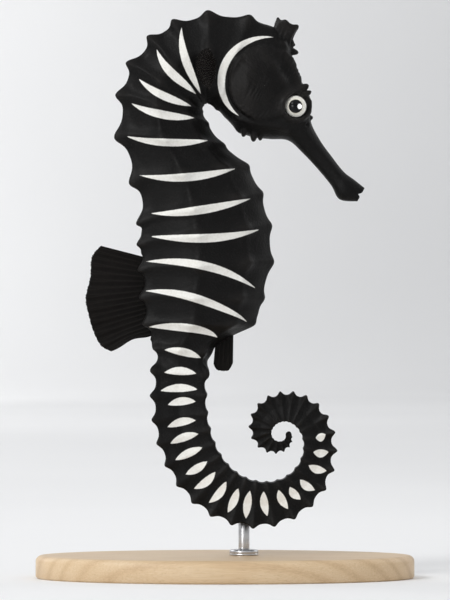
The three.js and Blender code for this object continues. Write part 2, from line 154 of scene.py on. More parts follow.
# %% [markdown]
# The tail is a walk. From its root it heads down, then turns through a coil while it tapers, so three short
# lists say it all: the heading, the length of a ring and the tube's half depth, each at the root and every
# fifth ring.

# %% Walk the tail
HEADINGS = (-99, -66, -4, 71, 153, 244, 356, 467)  # degrees from +X towards +Z
RING_LENGTHS = (4.7, 3.75, 3.2, 3.1, 1.88, 1.6, 1.24, 0.47)
HALF_DEPTHS = (5.8, 5.55, 4.75, 3.55, 3.2, 2.65, 1.3, 0.6)
RINGS_PER_VALUE = 5
STEPS_PER_RING = 20
WIDTH_SHARE = 0.92  # of the tail's half width to its half depth
TAIL_SHIFT = {"ring": 25, "rings": 3.5, "by": 0.25}  # mm towards the back, where the coil turns hardest


def walk_tail():
    """One row for each ring of the tail, with the same five numbers as a station."""
    count = TAIL_TIP - TAIL_ROOT
    index = (np.arange(count * STEPS_PER_RING) + 0.5) / STEPS_PER_RING / RINGS_PER_VALUE
    heading = np.radians(through(HEADINGS, index))
    stride = through(RING_LENGTHS, index) / STEPS_PER_RING
    back_x, back_z, belly_x, belly_z, _ = STATIONS[-1]
    x = ((back_x + belly_x) / 2 + np.cumsum(stride * np.cos(heading)))[STEPS_PER_RING - 1 :: STEPS_PER_RING]
    z = ((back_z + belly_z) / 2 + np.cumsum(stride * np.sin(heading)))[STEPS_PER_RING - 1 :: STEPS_PER_RING]
    ring = np.arange(1, count + 1)
    turn = np.radians(through(HEADINGS, ring / RINGS_PER_VALUE))
    half = through(HALF_DEPTHS, ring / RINGS_PER_VALUE)
    aside = TAIL_SHIFT["by"] * bump(ring + TAIL_ROOT - TAIL_SHIFT["ring"], TAIL_SHIFT["rings"])
    out_x, out_z = np.sin(turn), -np.cos(turn)
    back, belly = half + aside, half - aside
    sides = [x + out_x * back, z + out_z * back, x - out_x * belly, z - out_z * belly]
    return np.stack([*sides, half * WIDTH_SHARE], -1)


RINGS = np.concatenate([np.array(STATIONS), walk_tail()])
print(len(RINGS), "rings and stations; tail tip at", RINGS[-1][:2].round(1))


def ring_line(w):
    """The back point, the belly point and the half width at ring number w."""
    row = through(RINGS, w - FIRST)
    return row[..., 0:2], row[..., 2:4], row[..., 4]


# %% [markdown]
# ## The cross-section
#
# Head and snout are oval. The trunk is a seven-sided prism with a ridge along each edge, and the tail is
# four-sided. Each shape is a few corners, joined by edges that bow out a little; blending the corners along
# the body turns one shape into the next. Averaging each point with its neighbours round the section takes
# the machined look off the ridges, as bone has no true corner.

# %% Corners of the section, from the middle of the back round one side to the middle of the belly
CORNER_ANGLES = np.radians([0, 30, 90, 135, 180])
TRUNK_CORNERS = [(0.96, 0), (1, 0.4), (0.12, 1), (-0.62, 0.74), (-1, 0)]
TAIL_CORNERS = [(0.88, 0), (1, 0.92), (0, 0.86), (-1, 0.92), (-0.88, 0)]
EDGE_BOW = 0.06
SOFTENING = np.radians([-4, -2, 0, 2, 4])


def folded(angle):
    """The angle measured down from the back, whichever side it is on."""
    return np.abs((angle + np.pi) % (2 * np.pi) - np.pi)


def cornered(corners, angle):
    corners = np.array(corners, float)
    shown = folded(angle)
    k = np.clip(np.searchsorted(CORNER_ANGLES, shown, "right") - 1, 0, len(corners) - 2)
    t = (shown - CORNER_ANGLES[k]) / (CORNER_ANGLES[k + 1] - CORNER_ANGLES[k])
    edge = corners[k] * (1 - t)[..., None] + corners[k + 1] * t[..., None]
    edge *= (1 + EDGE_BOW * 4 * t * (1 - t))[..., None]
    edge[..., 1] *= np.where(np.sin(angle) < 0, -1, 1)
    return edge


def softened(corners, angle):
    return np.mean([cornered(corners, angle + shift) for shift in SOFTENING], axis=0)


flank_corner = softened(TRUNK_CORNERS, CORNER_ANGLES[2:3])[0]
print("the trunk's flank ridge, as shares of its half depth and half width:", flank_corner.round(2))

# %% Blend the shapes along the body
ANGULAR = (-2.5, 0.5)  # ring numbers over which the oval neck becomes angular
CREST = {"rings": (-6.5, -4.5), "narrower_by": 0.3, "above": (0.15, 1.0)}  # the head narrows upwards


def tailness(w):
    return smoothstep(TAIL_ROOT - 1, TAIL_ROOT + 2, w)


def section(w, angle):
    """Shares of the half depth (towards the back) and of the half width, at each ring number and angle."""
    oval = np.stack([np.cos(angle), np.sin(angle)], -1)
    tail = tailness(w)[..., None]
    edge = softened(TRUNK_CORNERS, angle) * (1 - tail) + softened(TAIL_CORNERS, angle) * tail
    angular = smoothstep(*ANGULAR, w)
    shape = oval + (edge - oval) * angular[..., None]
    crest = (1 - angular) * smoothstep(*CREST["rings"], w)
    shape[..., 1] *= 1 - crest * CREST["narrower_by"] * smoothstep(*CREST["above"], shape[..., 0])
    return shape


for name, w in (("head", -4.0), ("trunk", 6.0), ("tail", 20.0)):
    shares = section(np.full(7, w), np.linspace(0, np.pi, 7))
    print(name, "half width every 30 degrees from the back:", shares[:, 1].round(2))

# %% [markdown]
# ## Rings, ridges and knobs
#
# Where a ring crosses a ridge the bone swells into a blunt knob; between the knobs a low rib runs round the
# ring and a low keel runs along the ridge, and the plates lie sunk between them. On the back the knobs lean
# towards the tail. All of it is one height, from 0 in a plate to 1 at a knob's tip, that moves the skin in
# from the outline. A texture alone could fake the shading, but the outline needs real knobs.

# %% Height of the armour
RIDGES = CORNER_ANGLES[1:]
RIDGE_ON_TAIL = (1, 0, 1, 0)
KNOB = {"reach": 1.25, "power": 2.6}  # mm round the body; how steeply it falls along the body
RIB = {"height": 0.42, "power": 3.2}
KEEL = {"height": 0.2, "reach": 0.75}
TIP_ROUND = 0.16


def armour(w, angle, half_width):
    """Height of the relief, and how much of it is knob."""
    phase = np.abs(w - np.round(w)) * 2
    phase = (np.sqrt(phase**2 + TIP_ROUND**2) - TIP_ROUND) / (np.sqrt(1 + TIP_ROUND**2) - TIP_ROUND)
    knob, keel = 0, 0
    for ridge, stays in zip(RIDGES, RIDGE_ON_TAIL):
        strength = 1 + (stays - 1) * tailness(w)
        away = np.abs(ridge - folded(angle)) * half_width
        knob = np.maximum(knob, strength * bump(away, KNOB["reach"]))
        keel = np.maximum(keel, strength * bump(away, KEEL["reach"]))
    tip = knob * (1 - phase) ** KNOB["power"]
    rib = RIB["height"] * (1 - phase) ** RIB["power"]
    low = np.sqrt(rib**2 + (KEEL["height"] * keel) ** 2)
    return tip + (1 - tip) * low, tip


across_ring = armour(np.array([6.0, 6.25, 6.5]), RIDGES[0], 8.0)[0]
print("height on a knob, a quarter ring on and in a plate:", across_ring.round(2))

# %% [markdown]
# ## The head's relief
#
# The head shows most: a bony ring round each eye, a gill cover with fine spreading lines and a groove
# behind it, a brow ridge that climbs to the crown, a cheek ridge, nostrils, and the pad that the side fin
# grows from. They are drawn from the side, as heights over the flank, because that is how a fish's face is
# read. Each is a small sum of smooth bumps, so that they run into each other as bone does.

# %% Round the eye, in mm
SOCKET = {"depth": 2.0, "floor": 1.75, "edge": 2.42}
ORBIT = {"height": 0.42, "radius": 2.68, "width": 0.42}
MOUND = {"height": 0.42, "from": 2.5, "to": 4.8}
BEADS = {"count": 17, "height": 0.06, "radius": 3.2, "width": 0.45}


def from_eye(x, z):
    eye_x, _, eye_z = EYE["middle"]
    return np.hypot(x - eye_x, z - eye_z), np.arctan2(z - eye_z, x - eye_x)


def round_eye(x, z):
    away, turn = from_eye(x, z)
    height = ORBIT["height"] * bump(away - ORBIT["radius"], ORBIT["width"])
    height += MOUND["height"] * (1 - smoothstep(MOUND["from"], MOUND["to"], away))
    height += BEADS["height"] * np.cos(BEADS["count"] * turn) * bump(away - BEADS["radius"], BEADS["width"])
    return height - SOCKET["depth"] * (1 - smoothstep(SOCKET["floor"], SOCKET["edge"], away))


beyond = np.array([0, ORBIT["radius"], MOUND["to"]])
eye_heights = round_eye(EYE["middle"][0] + beyond, EYE["middle"][2])
print("height at the eye, on its ring and beyond, in mm:", eye_heights.round(2))

# %% The gill cover
GILL = {
    "middle": (15.9, 52.7), "radius": 7.2, "squash": 0.96, "edge": (-0.35, 0.1),
    "rise": 0.35, "bulge": 0.45, "bulge_from": (0, 4), "eye_clear": 3.4,
    "rear": (0.5, 3.5), "front_share": 0.25,
    "groove": 0.3, "groove_at": 0.5, "groove_width": 0.35,
}
GILL_LINES = {"from": (18.8, 50.2), "count": 44, "height": 0.07, "start": (1.5, 4.5)}


def gill_cover(x, z):
    gill_x, gill_z = GILL["middle"]
    away = np.hypot(x - gill_x, (z - gill_z) * GILL["squash"])
    inner, outer = GILL["edge"]
    cover = 1 - smoothstep(GILL["radius"] + inner, GILL["radius"] + outer, away)
    rear = smoothstep(*GILL["rear"], gill_x - x)
    rear = rear + (1 - rear) * GILL["front_share"]
    swell = GILL["rise"] + GILL["bulge"] * smoothstep(*GILL["bulge_from"], away) * rear
    height = cover * swell * (1 - bump(from_eye(x, z)[0], GILL["eye_clear"]))
    height -= GILL["groove"] * rear * bump(away - GILL["radius"] - GILL["groove_at"], GILL["groove_width"])
    start_x, start_z = GILL_LINES["from"]
    spread = np.arctan2(z - start_z, x - start_x)
    reach = smoothstep(*GILL_LINES["start"], np.hypot(x - start_x, z - start_z))
    return height + GILL_LINES["height"] * cover * reach * np.cos(GILL_LINES["count"] * spread)


behind_gill = np.array([GILL["middle"][0] - GILL["radius"] - step for step in (-1, GILL["groove_at"])])
gill_heights = gill_cover(behind_gill, GILL["middle"][1])
print("height inside the cover's rear edge and in the groove behind it, in mm:", gill_heights.round(2))

# %% Ridges, hollow, fin pad and nostril
RIDGE_FADE = 0.15
FACE_RIDGES = [  # start and end (x, z), height, width, and how far along its fade it starts
    ((23.4, 50.6), (19.6, 60.6), 0.5, 0.75, 0.08),  # brow, up to the crown
    ((19.6, 52.6), (15.0, 59.2), 0.35, 0.7, RIDGE_FADE),  # temple
    ((20.3, 43.6), (10.4, 45.6), 0.35, 0.7, RIDGE_FADE),  # cheek
    ((23.2, 43.6), (32.2, 32.6), 0.16, 0.6, RIDGE_FADE),  # snout
]
HOLLOW = {"at": (19.3, 55.0), "depth": 0.3, "reach": 1.6}  # between eye and crown
FIN_PAD = {"at": (5.6, 55.4), "height": 0.3, "reach": 1.8, "narrow": 1.5}
NOSTRIL = {"at": (24.3, 44.3), "rim": 0.2, "rim_at": 0.5, "rim_width": 0.25, "pit": 0.35, "pit_width": 0.32}


def beside(x, z, start, end):
    """Distance from a straight ridge, and how far along it."""
    along = np.subtract(end, start)
    t = np.clip(((x - start[0]) * along[0] + (z - start[1]) * along[1]) / (along @ along), 0, 1)
    return np.hypot(x - start[0] - t * along[0], z - start[1] - t * along[1]), t


def face(x, z):
    """Height of the face over the plain head."""
    height = round_eye(x, z) + gill_cover(x, z)
    for start, end, tall, width, lead in FACE_RIDGES:
        away, t = beside(x, z, start, end)
        height += tall * bump(away, width) * smoothstep(0, RIDGE_FADE, t + lead)
    height -= HOLLOW["depth"] * bump(np.hypot(x - HOLLOW["at"][0], z - HOLLOW["at"][1]), HOLLOW["reach"])
    pad = np.hypot((x - FIN_PAD["at"][0]) * FIN_PAD["narrow"], z - FIN_PAD["at"][1])
    height += FIN_PAD["height"] * bump(pad, FIN_PAD["reach"])
    nostril = np.hypot(x - NOSTRIL["at"][0], z - NOSTRIL["at"][1])
    height += NOSTRIL["rim"] * bump(nostril - NOSTRIL["rim_at"], NOSTRIL["rim_width"])
    return height - NOSTRIL["pit"] * bump(nostril, NOSTRIL["pit_width"])


face_heights = [face(*spot["at"]).round(2) for spot in (FIN_PAD, NOSTRIL)]
print("height at the fin pad and in the nostril, in mm:", *face_heights)

# %% Swellings of the outline, in mm: place (x, z), height and reach
SWELLINGS = [
    ((4.6, -3.0), 0.9, 1.7),  # vent, between tail and belly fin
    ((4.2, -5.2), 0.85, 1.6),
    ((-6.7, 1.3), 1.7, 1.0),  # lower end of the back fin's foot
    ((-6.8, -1.2), -0.5, 0.7),
    ((-6.9, -3.5), 0.8, 1.1),
    ((-9.0, 18.7), 0.6, 0.8),  # upper end
    ((21.2, 60.9), 0.8, 1.3),  # brow, under the crown
    ((22.4, 55.2), -0.35, 2.0),  # dip above the eyes
    ((25.0, 48.8), -0.22, 1.8),
    ((10.9, 43.2), 0.35, 1.1),  # jowl
    ((5.2, 48.6), 0.25, 1.5),
]


def swelling(x, z):
    return sum(height * bump(np.hypot(x - at[0], z - at[1]), reach) for at, height, reach in SWELLINGS)


print(len(SWELLINGS), "swellings, up to", swelling(*SWELLINGS[2][0]).round(2), "mm by the back fin")

# %% [markdown]
# ## The skin's rows and columns
#
# The tube is a grid: rows across the body, columns along it. Knobs are small and plates are wide, so rows
# crowd at each ring and columns at each ridge; even spacing would need twice the points for the same knobs.

# %% Rows and columns
CROWDING = 0.45
ROWS_PER_RING = {"snout": 12, "head": 19, "trunk": 28, "tail": (13, 7)}  # the tail's from root to tip
HEAD_FROM, TRUNK_FROM = -7, -2
COLUMNS = (10, 17, 13, 14)  # between the corners of one side


def crowded(count):
    """Even steps from 0 up to 1, drawn towards both ends."""
    q = np.arange(count) / count
    return q - CROWDING * np.sin(2 * np.pi * q) / (2 * np.pi)


def row_places():
    rows = []
    at_root, at_tip = ROWS_PER_RING["tail"]
    for ring in range(FIRST, TAIL_TIP):
        if ring < TRUNK_FROM:
            count = ROWS_PER_RING["snout" if ring < HEAD_FROM else "head"]
            rows.append(ring + np.arange(count) / count)
        elif ring < TAIL_ROOT:
            rows.append(ring + crowded(ROWS_PER_RING["trunk"]))
        else:
            count = at_root - (at_root - at_tip) * (ring - TAIL_ROOT) / (TAIL_TIP - TAIL_ROOT)
            rows.append(ring + crowded(round(count)))
    return np.append(np.concatenate(rows), TAIL_TIP)


def column_places():
    spans = zip(CORNER_ANGLES, CORNER_ANGLES[1:], COLUMNS)
    side = np.concatenate([start + (end - start) * crowded(count) for start, end, count in spans])
    return np.concatenate([side, [np.pi], 2 * np.pi - side[:0:-1]])


print(len(row_places()), "rows and", len(column_places()), "columns")

# %% [markdown]
# A point of the skin starts on the plain section and sinks in where the armour is low. Sinking, rather than
# raising knobs, keeps their tips on the body's curves, which are the outline. The sink grows with the
# ring's length, so that the knobs shrink along the tail as the rings do. The corners of the mouth are set
# back, which makes the small notch that a seahorse's jaws show from the side.

# %% A point of the skin
KNOB_SHARE = {"trunk": 0.31, "tail": 0.25, "coil": 0.37, "belly": 0.15}  # height by the ring's length
KNOB_MOST = 2.4  # mm
NECK_KNOBS = {"share": 0.65, "rings": (-0.5, 2.0)}
TAIL_KNOBS = (TAIL_ROOT, TAIL_ROOT + 4)  # the rings over which the knobs change from trunk to tail
COIL_KNOBS = (25, 28)  # and from there to the coil's taller ones
RINGS_START, RINGS_END = (-1.9, -0.9), (TAIL_TIP - 1.5, TAIL_TIP)
LEAN = {"by": 0.1, "rings": (-0.6, 0.6)}  # of a ring's length, at the tips on the back
MOUTH_CORNER = {"angle": 92, "spread": 15, "set_back": 0.36, "rings": (-11.4, -9.9)}


def mouth_set_back(w, angle):
    """The corners of the mouth lie a little behind the lips."""
    away = folded(angle) - np.radians(MOUTH_CORNER["angle"])
    corner = bump(away, np.radians(MOUTH_CORNER["spread"]))
    return MOUTH_CORNER["set_back"] * corner * (1 - smoothstep(*MOUTH_CORNER["rings"], w))


def knob_share(w, towards_back):
    neck = NECK_KNOBS["share"] + (1 - NECK_KNOBS["share"]) * smoothstep(*NECK_KNOBS["rings"], w)
    on_back = KNOB_SHARE["trunk"] * neck
    on_back = on_back + (KNOB_SHARE["tail"] - KNOB_SHARE["trunk"]) * smoothstep(*TAIL_KNOBS, w)
    on_back = on_back + (KNOB_SHARE["coil"] - KNOB_SHARE["tail"]) * smoothstep(*COIL_KNOBS, w)
    return KNOB_SHARE["belly"] + (on_back - KNOB_SHARE["belly"]) * towards_back


def pitch_at(w, towards_back):
    """The length of a ring there, in mm."""
    ahead, behind = ring_line(np.minimum(w + 0.5, TAIL_TIP)), ring_line(np.maximum(w - 0.5, FIRST))
    on_back, on_belly = (np.linalg.norm(ahead[side] - behind[side], axis=-1) for side in (0, 1))
    return on_belly + (on_back - on_belly) * towards_back


def skin_point(w, angle):
    """Places in mm, and the armour's height there, at ring numbers and angles."""
    w = w + mouth_set_back(w, angle)
    shares = section(w, angle)
    towards_back = np.clip(0.5 + 0.5 * shares[..., 0], 0, 1)
    height, knob = armour(w, angle, ring_line(w)[2])
    ringed = smoothstep(*RINGS_START, w) * (1 - smoothstep(*RINGS_END, w))
    w = w + LEAN["by"] * smoothstep(*LEAN["rings"], w) * knob * towards_back * (1 - tailness(w))
    back, belly, half_width = ring_line(w)
    most = np.minimum(KNOB_MOST, knob_share(w, towards_back) * pitch_at(w, towards_back))
    sink = ringed * most * (1 - height)
    axis = (back - belly) / 2
    half_depth = np.linalg.norm(axis, axis=-1)
    up = axis / half_depth[..., None]
    flat = (back + belly) / 2 + up * (shares[..., 0] * (half_depth - sink))[..., None]
    across = shares[..., 1] * (half_width - sink)
    return np.stack([flat[..., 0], across, flat[..., 1]], -1), height * ringed


back_of_trunk, _ = skin_point(np.array([6.0, 6.5]), np.zeros(2))
print("x, z on the back of ring 6 and in the plate after it:", back_of_trunk[:, [0, 2]].round(1).tolist())

# %% [markdown]
# The grid takes the face's relief where it looks to the side, and the outline's swellings where it looks
# up or down. At the lips the rows turn in to line the mouth, and at the tail's tip they close in a dome.

# %% The skin's grid
FLANK = (0.15, 0.55)  # how far the skin looks to the side, from no face relief to all of it
FACE_RINGS = {"from": (-10.5, -9.0), "to": (-1.2, 0.6)}
# size, as a share of the lips, and depth behind them, as a share of a station
LIP_ROWS = [(0.97, -0.03), (0.88, -0.05), (0.76, -0.03), (0.68, 0.05), (0.6, 0.2), (0.42, 0.4)]
THROAT = 0.6  # of a station behind the lips
TIP_ROWS = 6


def normals_of(grid):
    down = np.gradient(grid, axis=0)
    across = np.roll(grid, -1, axis=1) - np.roll(grid, 1, axis=1)
    normal = np.cross(across, down)
    normal /= np.linalg.norm(normal, axis=-1, keepdims=True) + 1e-12
    outward = grid - grid.mean(axis=1, keepdims=True)
    return normal * np.sign(np.sum(normal * outward, axis=(-1, -2), keepdims=True))


def lip_rows(angle):
    rows = []
    for size, depth in LIP_ROWS:
        row, _ = skin_point(np.full_like(angle, FIRST + depth), angle)
        middle = row.mean(axis=0)
        rows.append(middle + (row - middle) * size)
    return np.array(rows[::-1])


def tip_dome(last, before):
    middle, onward = last.mean(axis=0), (last - before).mean(axis=0)
    onward *= np.linalg.norm(last - middle, axis=-1).mean() / np.linalg.norm(onward)
    turns = np.linspace(0, np.pi / 2, TIP_ROWS + 1)[1:-1]
    dome = [middle + (last - middle) * np.cos(t) + onward * np.sin(t) for t in turns]
    return np.array(dome), middle + onward


def skin_grid():
    """The grid, its ring numbers and heights, and the points that close it in the throat and at the tip."""
    w, angle = np.meshgrid(row_places(), column_places(), indexing="ij")
    grid, height = skin_point(w, angle)
    normal = normals_of(grid)
    flank = smoothstep(*FLANK, np.abs(normal[..., 1]))
    on_face = (1 - smoothstep(*FACE_RINGS["to"], w)) * smoothstep(*FACE_RINGS["from"], w)
    relief = face(grid[..., 0], grid[..., 2]) * flank * on_face
    edge = swelling(grid[..., 0], grid[..., 2]) * (1 - flank)
    grid = grid + normal * (relief + edge)[..., None]
    height = np.maximum(height, np.clip(relief * 1.2, 0, 1) * on_face)
    lips = lip_rows(angle[0])
    dome, tip = tip_dome(grid[-1], grid[-2])
    columns = grid.shape[1]
    grid = np.concatenate([lips, grid, dome])
    height = np.concatenate([np.zeros((len(lips), columns)), height, np.zeros((len(dome), columns))])
    w = np.concatenate([np.full((len(lips), columns), FIRST), w, np.full((len(dome), columns), TAIL_TIP)])
    back, belly, _ = ring_line(np.array(FIRST + THROAT))
    throat_x, throat_z = (back + belly) / 2
    return grid, w, height, np.array([throat_x, 0, throat_z]), tip


grid, grid_w, grid_height, throat, tip = skin_grid()
print("skin grid", grid.shape[:2], "from z", grid[..., 2].min().round(1), "to", grid[..., 2].max().round(1))

# %% [markdown]
# ## Meshes from rings
#
# Skin, spines, crown, eyes and stand are all rings of points joined in order, so one small helper makes
# their faces. It closes each end on a point or joins the last ring to the first, then turns the faces
# outward by the sign of the volume. Another helper lets an object ride on the frame and says which CAD
# nodes it replaces.

# %% Faces between rings
def ring_faces(rows, columns, closed):
    r, c = np.meshgrid(np.arange(rows if closed else rows - 1), np.arange(columns), indexing="ij")
    here, ahead = r * columns, (r + 1) % rows * columns
    aside = (c + 1) % columns
    quads = [here + c, here + aside, ahead + aside, ahead + c]
    return np.stack(quads, -1).reshape(-1, 4).tolist()


def tube(rings, start=None, end=None):
    """Points and faces of rings of points (rows, columns, 3), closed on a start and an end point."""
    rings = np.asarray(rings, float)
    rows, columns = rings.shape[:2]
    points, faces = rings.reshape(-1, 3), ring_faces(rows, columns, start is None)
    for pole, row in ((start, 0), (end, rows - 1)):
        if pole is None:
            continue
        at, first = len(points), row * columns
        points = np.concatenate([points, [pole]])
        for c in range(columns):
            pair = (first + (c + 1) % columns, first + c)
            faces.append((at, *(pair if row == 0 else pair[::-1])))
    return points, faces


def volume(points, faces):
    total = 0
    for size in (3, 4):
        chosen = [loop for loop in faces if len(loop) == size]
        if chosen:
            corners = points[chosen]
            for k in range(1, size - 1):
                total += np.sum(corners[:, 0] * np.cross(corners[:, k], corners[:, k + 1])) / 6
    return total


print("the body holds", abs(volume(*tube(grid, throat, tip))).round(), "mm3")

# %% Make a mesh, and dress it
def make_mesh(name, points, faces, place=PLACE):
    if volume(points, faces) < 0:
        faces = [loop[::-1] for loop in faces]
    mesh = bpy.data.meshes.new(name)
    mesh.from_pydata((points * MM).tolist(), [], faces)
    mesh.shade_smooth()
    made = bpy.data.objects.new(name, mesh)
    made.location = Vector(place) * MM
    bpy.context.scene.collection.objects.link(made)
    return made


def note(made, name, values):
    """Writes one number for each point of the mesh, for its finish to read."""
    layer = made.data.attributes.new(name, "FLOAT", "POINT")
    layer.data.foreach_set("value", np.asarray(values, np.float32).ravel())


def dress(made, finish, slot, *nodes):
    made.data.materials.clear()
    made.data.materials.append(finish)
    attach(made, "root")
    if nodes:
        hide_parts(*nodes)
    print(made.name, len(made.data.vertices), "points,", len(finish.node_tree.nodes), "shader nodes")
    return made


# %% Turn a profile
def turned(profile, columns, axis_foot=(0, 0, 0), axis_tip=(0, 0, 1), spread=None):
    """A profile of (radius, height) turned about the line from a foot to a tip. spread reshapes it first."""
    foot, along = np.array(axis_foot, float), np.subtract(axis_tip, axis_foot).astype(float)
    along /= np.linalg.norm(along)
    side = np.cross(along, (0, 1, 0) if abs(along[1]) < 0.9 else (1, 0, 0))
    side /= np.linalg.norm(side)
    other = np.cross(along, side)
    turn = np.arange(columns) * 2 * np.pi / columns
    radius, height = (np.array(part, float)[:, None] * np.ones(columns) for part in zip(*profile))
    if spread:
        radius, height = spread(radius, height, turn)
    flat = radius[..., None] * (np.cos(turn)[:, None] * side + np.sin(turn)[:, None] * other)
    return foot + flat + height[..., None] * along


drum = tube(turned([(1, 0), (1, 1)], 72), (0, 0, 0), (0, 0, 1))
print("a turned drum, 1 mm in radius and height, holds", abs(volume(*drum)).round(3), "mm3")

# %% [markdown]
# ## Crown and spines
#
# On top of the head stands the coronet, a crown of five blunt points on a short stem, as personal as a
# fingerprint. Small spines stand over the eyes, on the nose, on the brow and along the cheeks. They
# overhang, so the tube can't be pushed out into them; each is turned as a solid with its foot deep in the
# head.

# %% The crown
CROWN = {"foot": (19.05, 0, 60.6), "top": (20.75, 0, 64.8), "stem": 2.1, "rim": 2.15, "columns": 80}
# radius, as a share of the stem's or the rim's, and height, as a share of the crown's
STEM_STEPS = [(1.15, 0), (0.98, 0.25), (0.93, 0.42), (0.94, 0.58)]
RIM_STEPS = [(0.98, 0.74), (1.05, 0.86), (1.1, 0.94), (1.07, 1.0), (0.97, 1.02)]
CUP_STEPS = [(0.82, 0.98), (0.62, 0.91), (0.38, 0.87), (0.16, 0.86)]
CROWN_POINTS = {
    "count": 5, "sharpness": 1.5, "dip": 0.35, "wider_by": 0.13, "taller_by": 0.34,
    "upwards": (0.45, 0.95), "outwards": (0.3, 0.9),
}
BUTTRESS = {"by": 0.2, "at": 0.62, "reach": 0.2}  # behind, down to the nape
FURROWS = 0.05


def crown():
    foot, top = np.array(CROWN["foot"]), np.array(CROWN["top"])
    tall = np.linalg.norm(top - foot)
    stem, rim = CROWN["stem"], CROWN["rim"]
    rows = [(stem * share, up * tall) for share, up in STEM_STEPS]
    rows += [(rim * share, up * tall) for share, up in RIM_STEPS + CUP_STEPS]
    count = CROWN_POINTS["count"]

    def five_points(radius, height, turn):
        share = height / tall
        lobe = 0.5 + 0.5 * np.cos(count * turn)
        flare = smoothstep(*CROWN_POINTS["upwards"], share)
        pointed = lobe ** CROWN_POINTS["sharpness"] - CROWN_POINTS["dip"]
        outer = smoothstep(*CROWN_POINTS["outwards"], radius / rim)
        behind = np.cos(turn).clip(0) ** 2
        buttress = BUTTRESS["by"] * behind * bump(share - BUTTRESS["at"], BUTTRESS["reach"])
        furrow = FURROWS * np.cos(2 * count * turn) * (1 - flare)
        radius = radius * (1 + CROWN_POINTS["wider_by"] * flare * pointed * outer) * (1 + furrow + buttress)
        return radius, height + CROWN_POINTS["taller_by"] * flare * pointed * outer

    rings = turned(rows, CROWN["columns"], foot, top, five_points)
    return tube(rings, foot, foot + (top - foot) * CUP_STEPS[-1][1])


crown_points, _ = crown()
print("crown:", len(crown_points), "points, up to z", crown_points[:, 2].max().round(2))

# %% The spines
# foot and tip (x, z), distance from the middle plane, radius, droop of the tip
SPINES = [
    ((22.7, 51.1), (24.75, 52.35), 2.2, 1.15, 0.05),  # over the eyes
    ((23.4, 50.2), (25.3, 51.0), 2.5, 0.8, 0.0),
    ((24.0, 45.6), (25.65, 45.95), 0, 1.0, 0.05),  # on the nose
    ((20.2, 59.2), (22.75, 59.1), 0, 1.1, 0.25),  # on the brow
    ((20.5, 60.6), (22.15, 60.45), 0, 0.8, 0.05),
    ((15.3, 43.2), (15.0, 41.25), 1.5, 0.95, 0),  # along the cheeks
    ((13.9, 43.5), (13.7, 41.0), 1.6, 1.1, 0),
    ((12.2, 44.1), (11.6, 42.0), 1.6, 1.0, 0),
]
BLUNT = [(1.2, -0.35), (1.0, 0.0), (0.86, 0.3), (0.7, 0.55), (0.55, 0.74), (0.4, 0.88), (0.21, 0.97)]
SPINE_COLUMNS = 20
SPLAY = 1.05  # of a tip's distance from the middle plane to its foot's


def spine(foot, tip, aside, radius, droop):
    foot, tip = np.array((foot[0], aside, foot[1])), np.array((tip[0], aside * SPLAY, tip[1]))
    long = np.linalg.norm(tip - foot)
    rings = turned([(radius * r, long * h) for r, h in BLUNT], SPINE_COLUMNS, foot, tip)
    bend = droop * np.array([h for _, h in BLUNT]).clip(0) ** 2
    rings[..., 2] -= bend[:, None]
    return tube(rings, foot + (tip - foot) * BLUNT[0][1], tip - (0, 0, droop))


def crown_and_spines():
    made = [make_mesh("crown", *crown())]
    for foot, top, aside, radius, droop in SPINES:
        for side in (1, -1) if aside else (1,):
            made.append(make_mesh("spine", *spine(foot, top, side * aside, radius, droop)))
    return made


print(sum(2 if aside else 1 for _, _, aside, _, _ in SPINES), "spines")

# %% [markdown]
# ## One skin
#
# The crown and spines have to become part of the skin, with no seam. Joining the meshes as they are would
# leave hidden walls inside, and a voxel remesh would round every knob, so a boolean union welds them and
# keeps the fine grid.

# %% Weld helpers
def drop_spare_points(mesh):
    """Take out points between only two edges: two faces that share one would fold over it as triangles."""
    work = bmesh.new()
    work.from_mesh(mesh)
    spare = [point for point in work.verts if len(point.link_edges) == 2]
    print("spare points on the weld:", len(spare))
    bmesh.ops.dissolve_verts(work, verts=spare)
    work.to_mesh(mesh)
    work.free()


def union(body, others):
    for other in others:
        weld = body.modifiers.new("weld", "BOOLEAN")
        weld.operation, weld.solver, weld.object = "UNION", "MANIFOLD", other
    done = body.evaluated_get(bpy.context.evaluated_depsgraph_get())
    mesh = bpy.data.meshes.new_from_object(done)
    body.modifiers.clear()
    body.data = mesh
    for other in others:
        bpy.data.objects.remove(other)
    drop_spare_points(mesh)


def places(made):
    points = np.empty(len(made.data.vertices) * 3, np.float32)
    made.data.vertices.foreach_get("co", points)
    return points.reshape(-1, 3) / MM


def tree_of(points):
    """A tree that finds the nearest of many points quickly."""
    tree = KDTree(len(points))
    for k, point in enumerate(points):
        tree.insert(point, k)
    tree.balance()
    return tree


# %% Weld the crown and spines to the body
NEW_POINT = 0.001  # mm; a point farther than this from every point before the weld lies on the weld

body_points, body_faces = tube(grid, throat, tip)
skin = make_mesh("skin", body_points, body_faces)
ornaments = crown_and_spines()
known = tree_of(np.concatenate([body_points] + [places(piece) for piece in ornaments]))
union(skin, ornaments)
welded = places(skin)
weld = [point for point in welded if known.find(point)[2] > NEW_POINT]
print("after the weld:", len(welded), "points,", len(weld), "on the weld")

# %% [markdown]
# The weld leaves a hard crease round each foot. A bevel would need the crease's edges to be clean, and they
# cross the grid anywhere. Smoothing only the points near the weld, less the farther they are from it, turns
# the crease into the small fillet that growing bone has.

# %% Soften the weld
FILLET = {"reach": 0.6, "power": 0.5, "pull": 0.5, "steps": 6}  # reach in mm from the weld

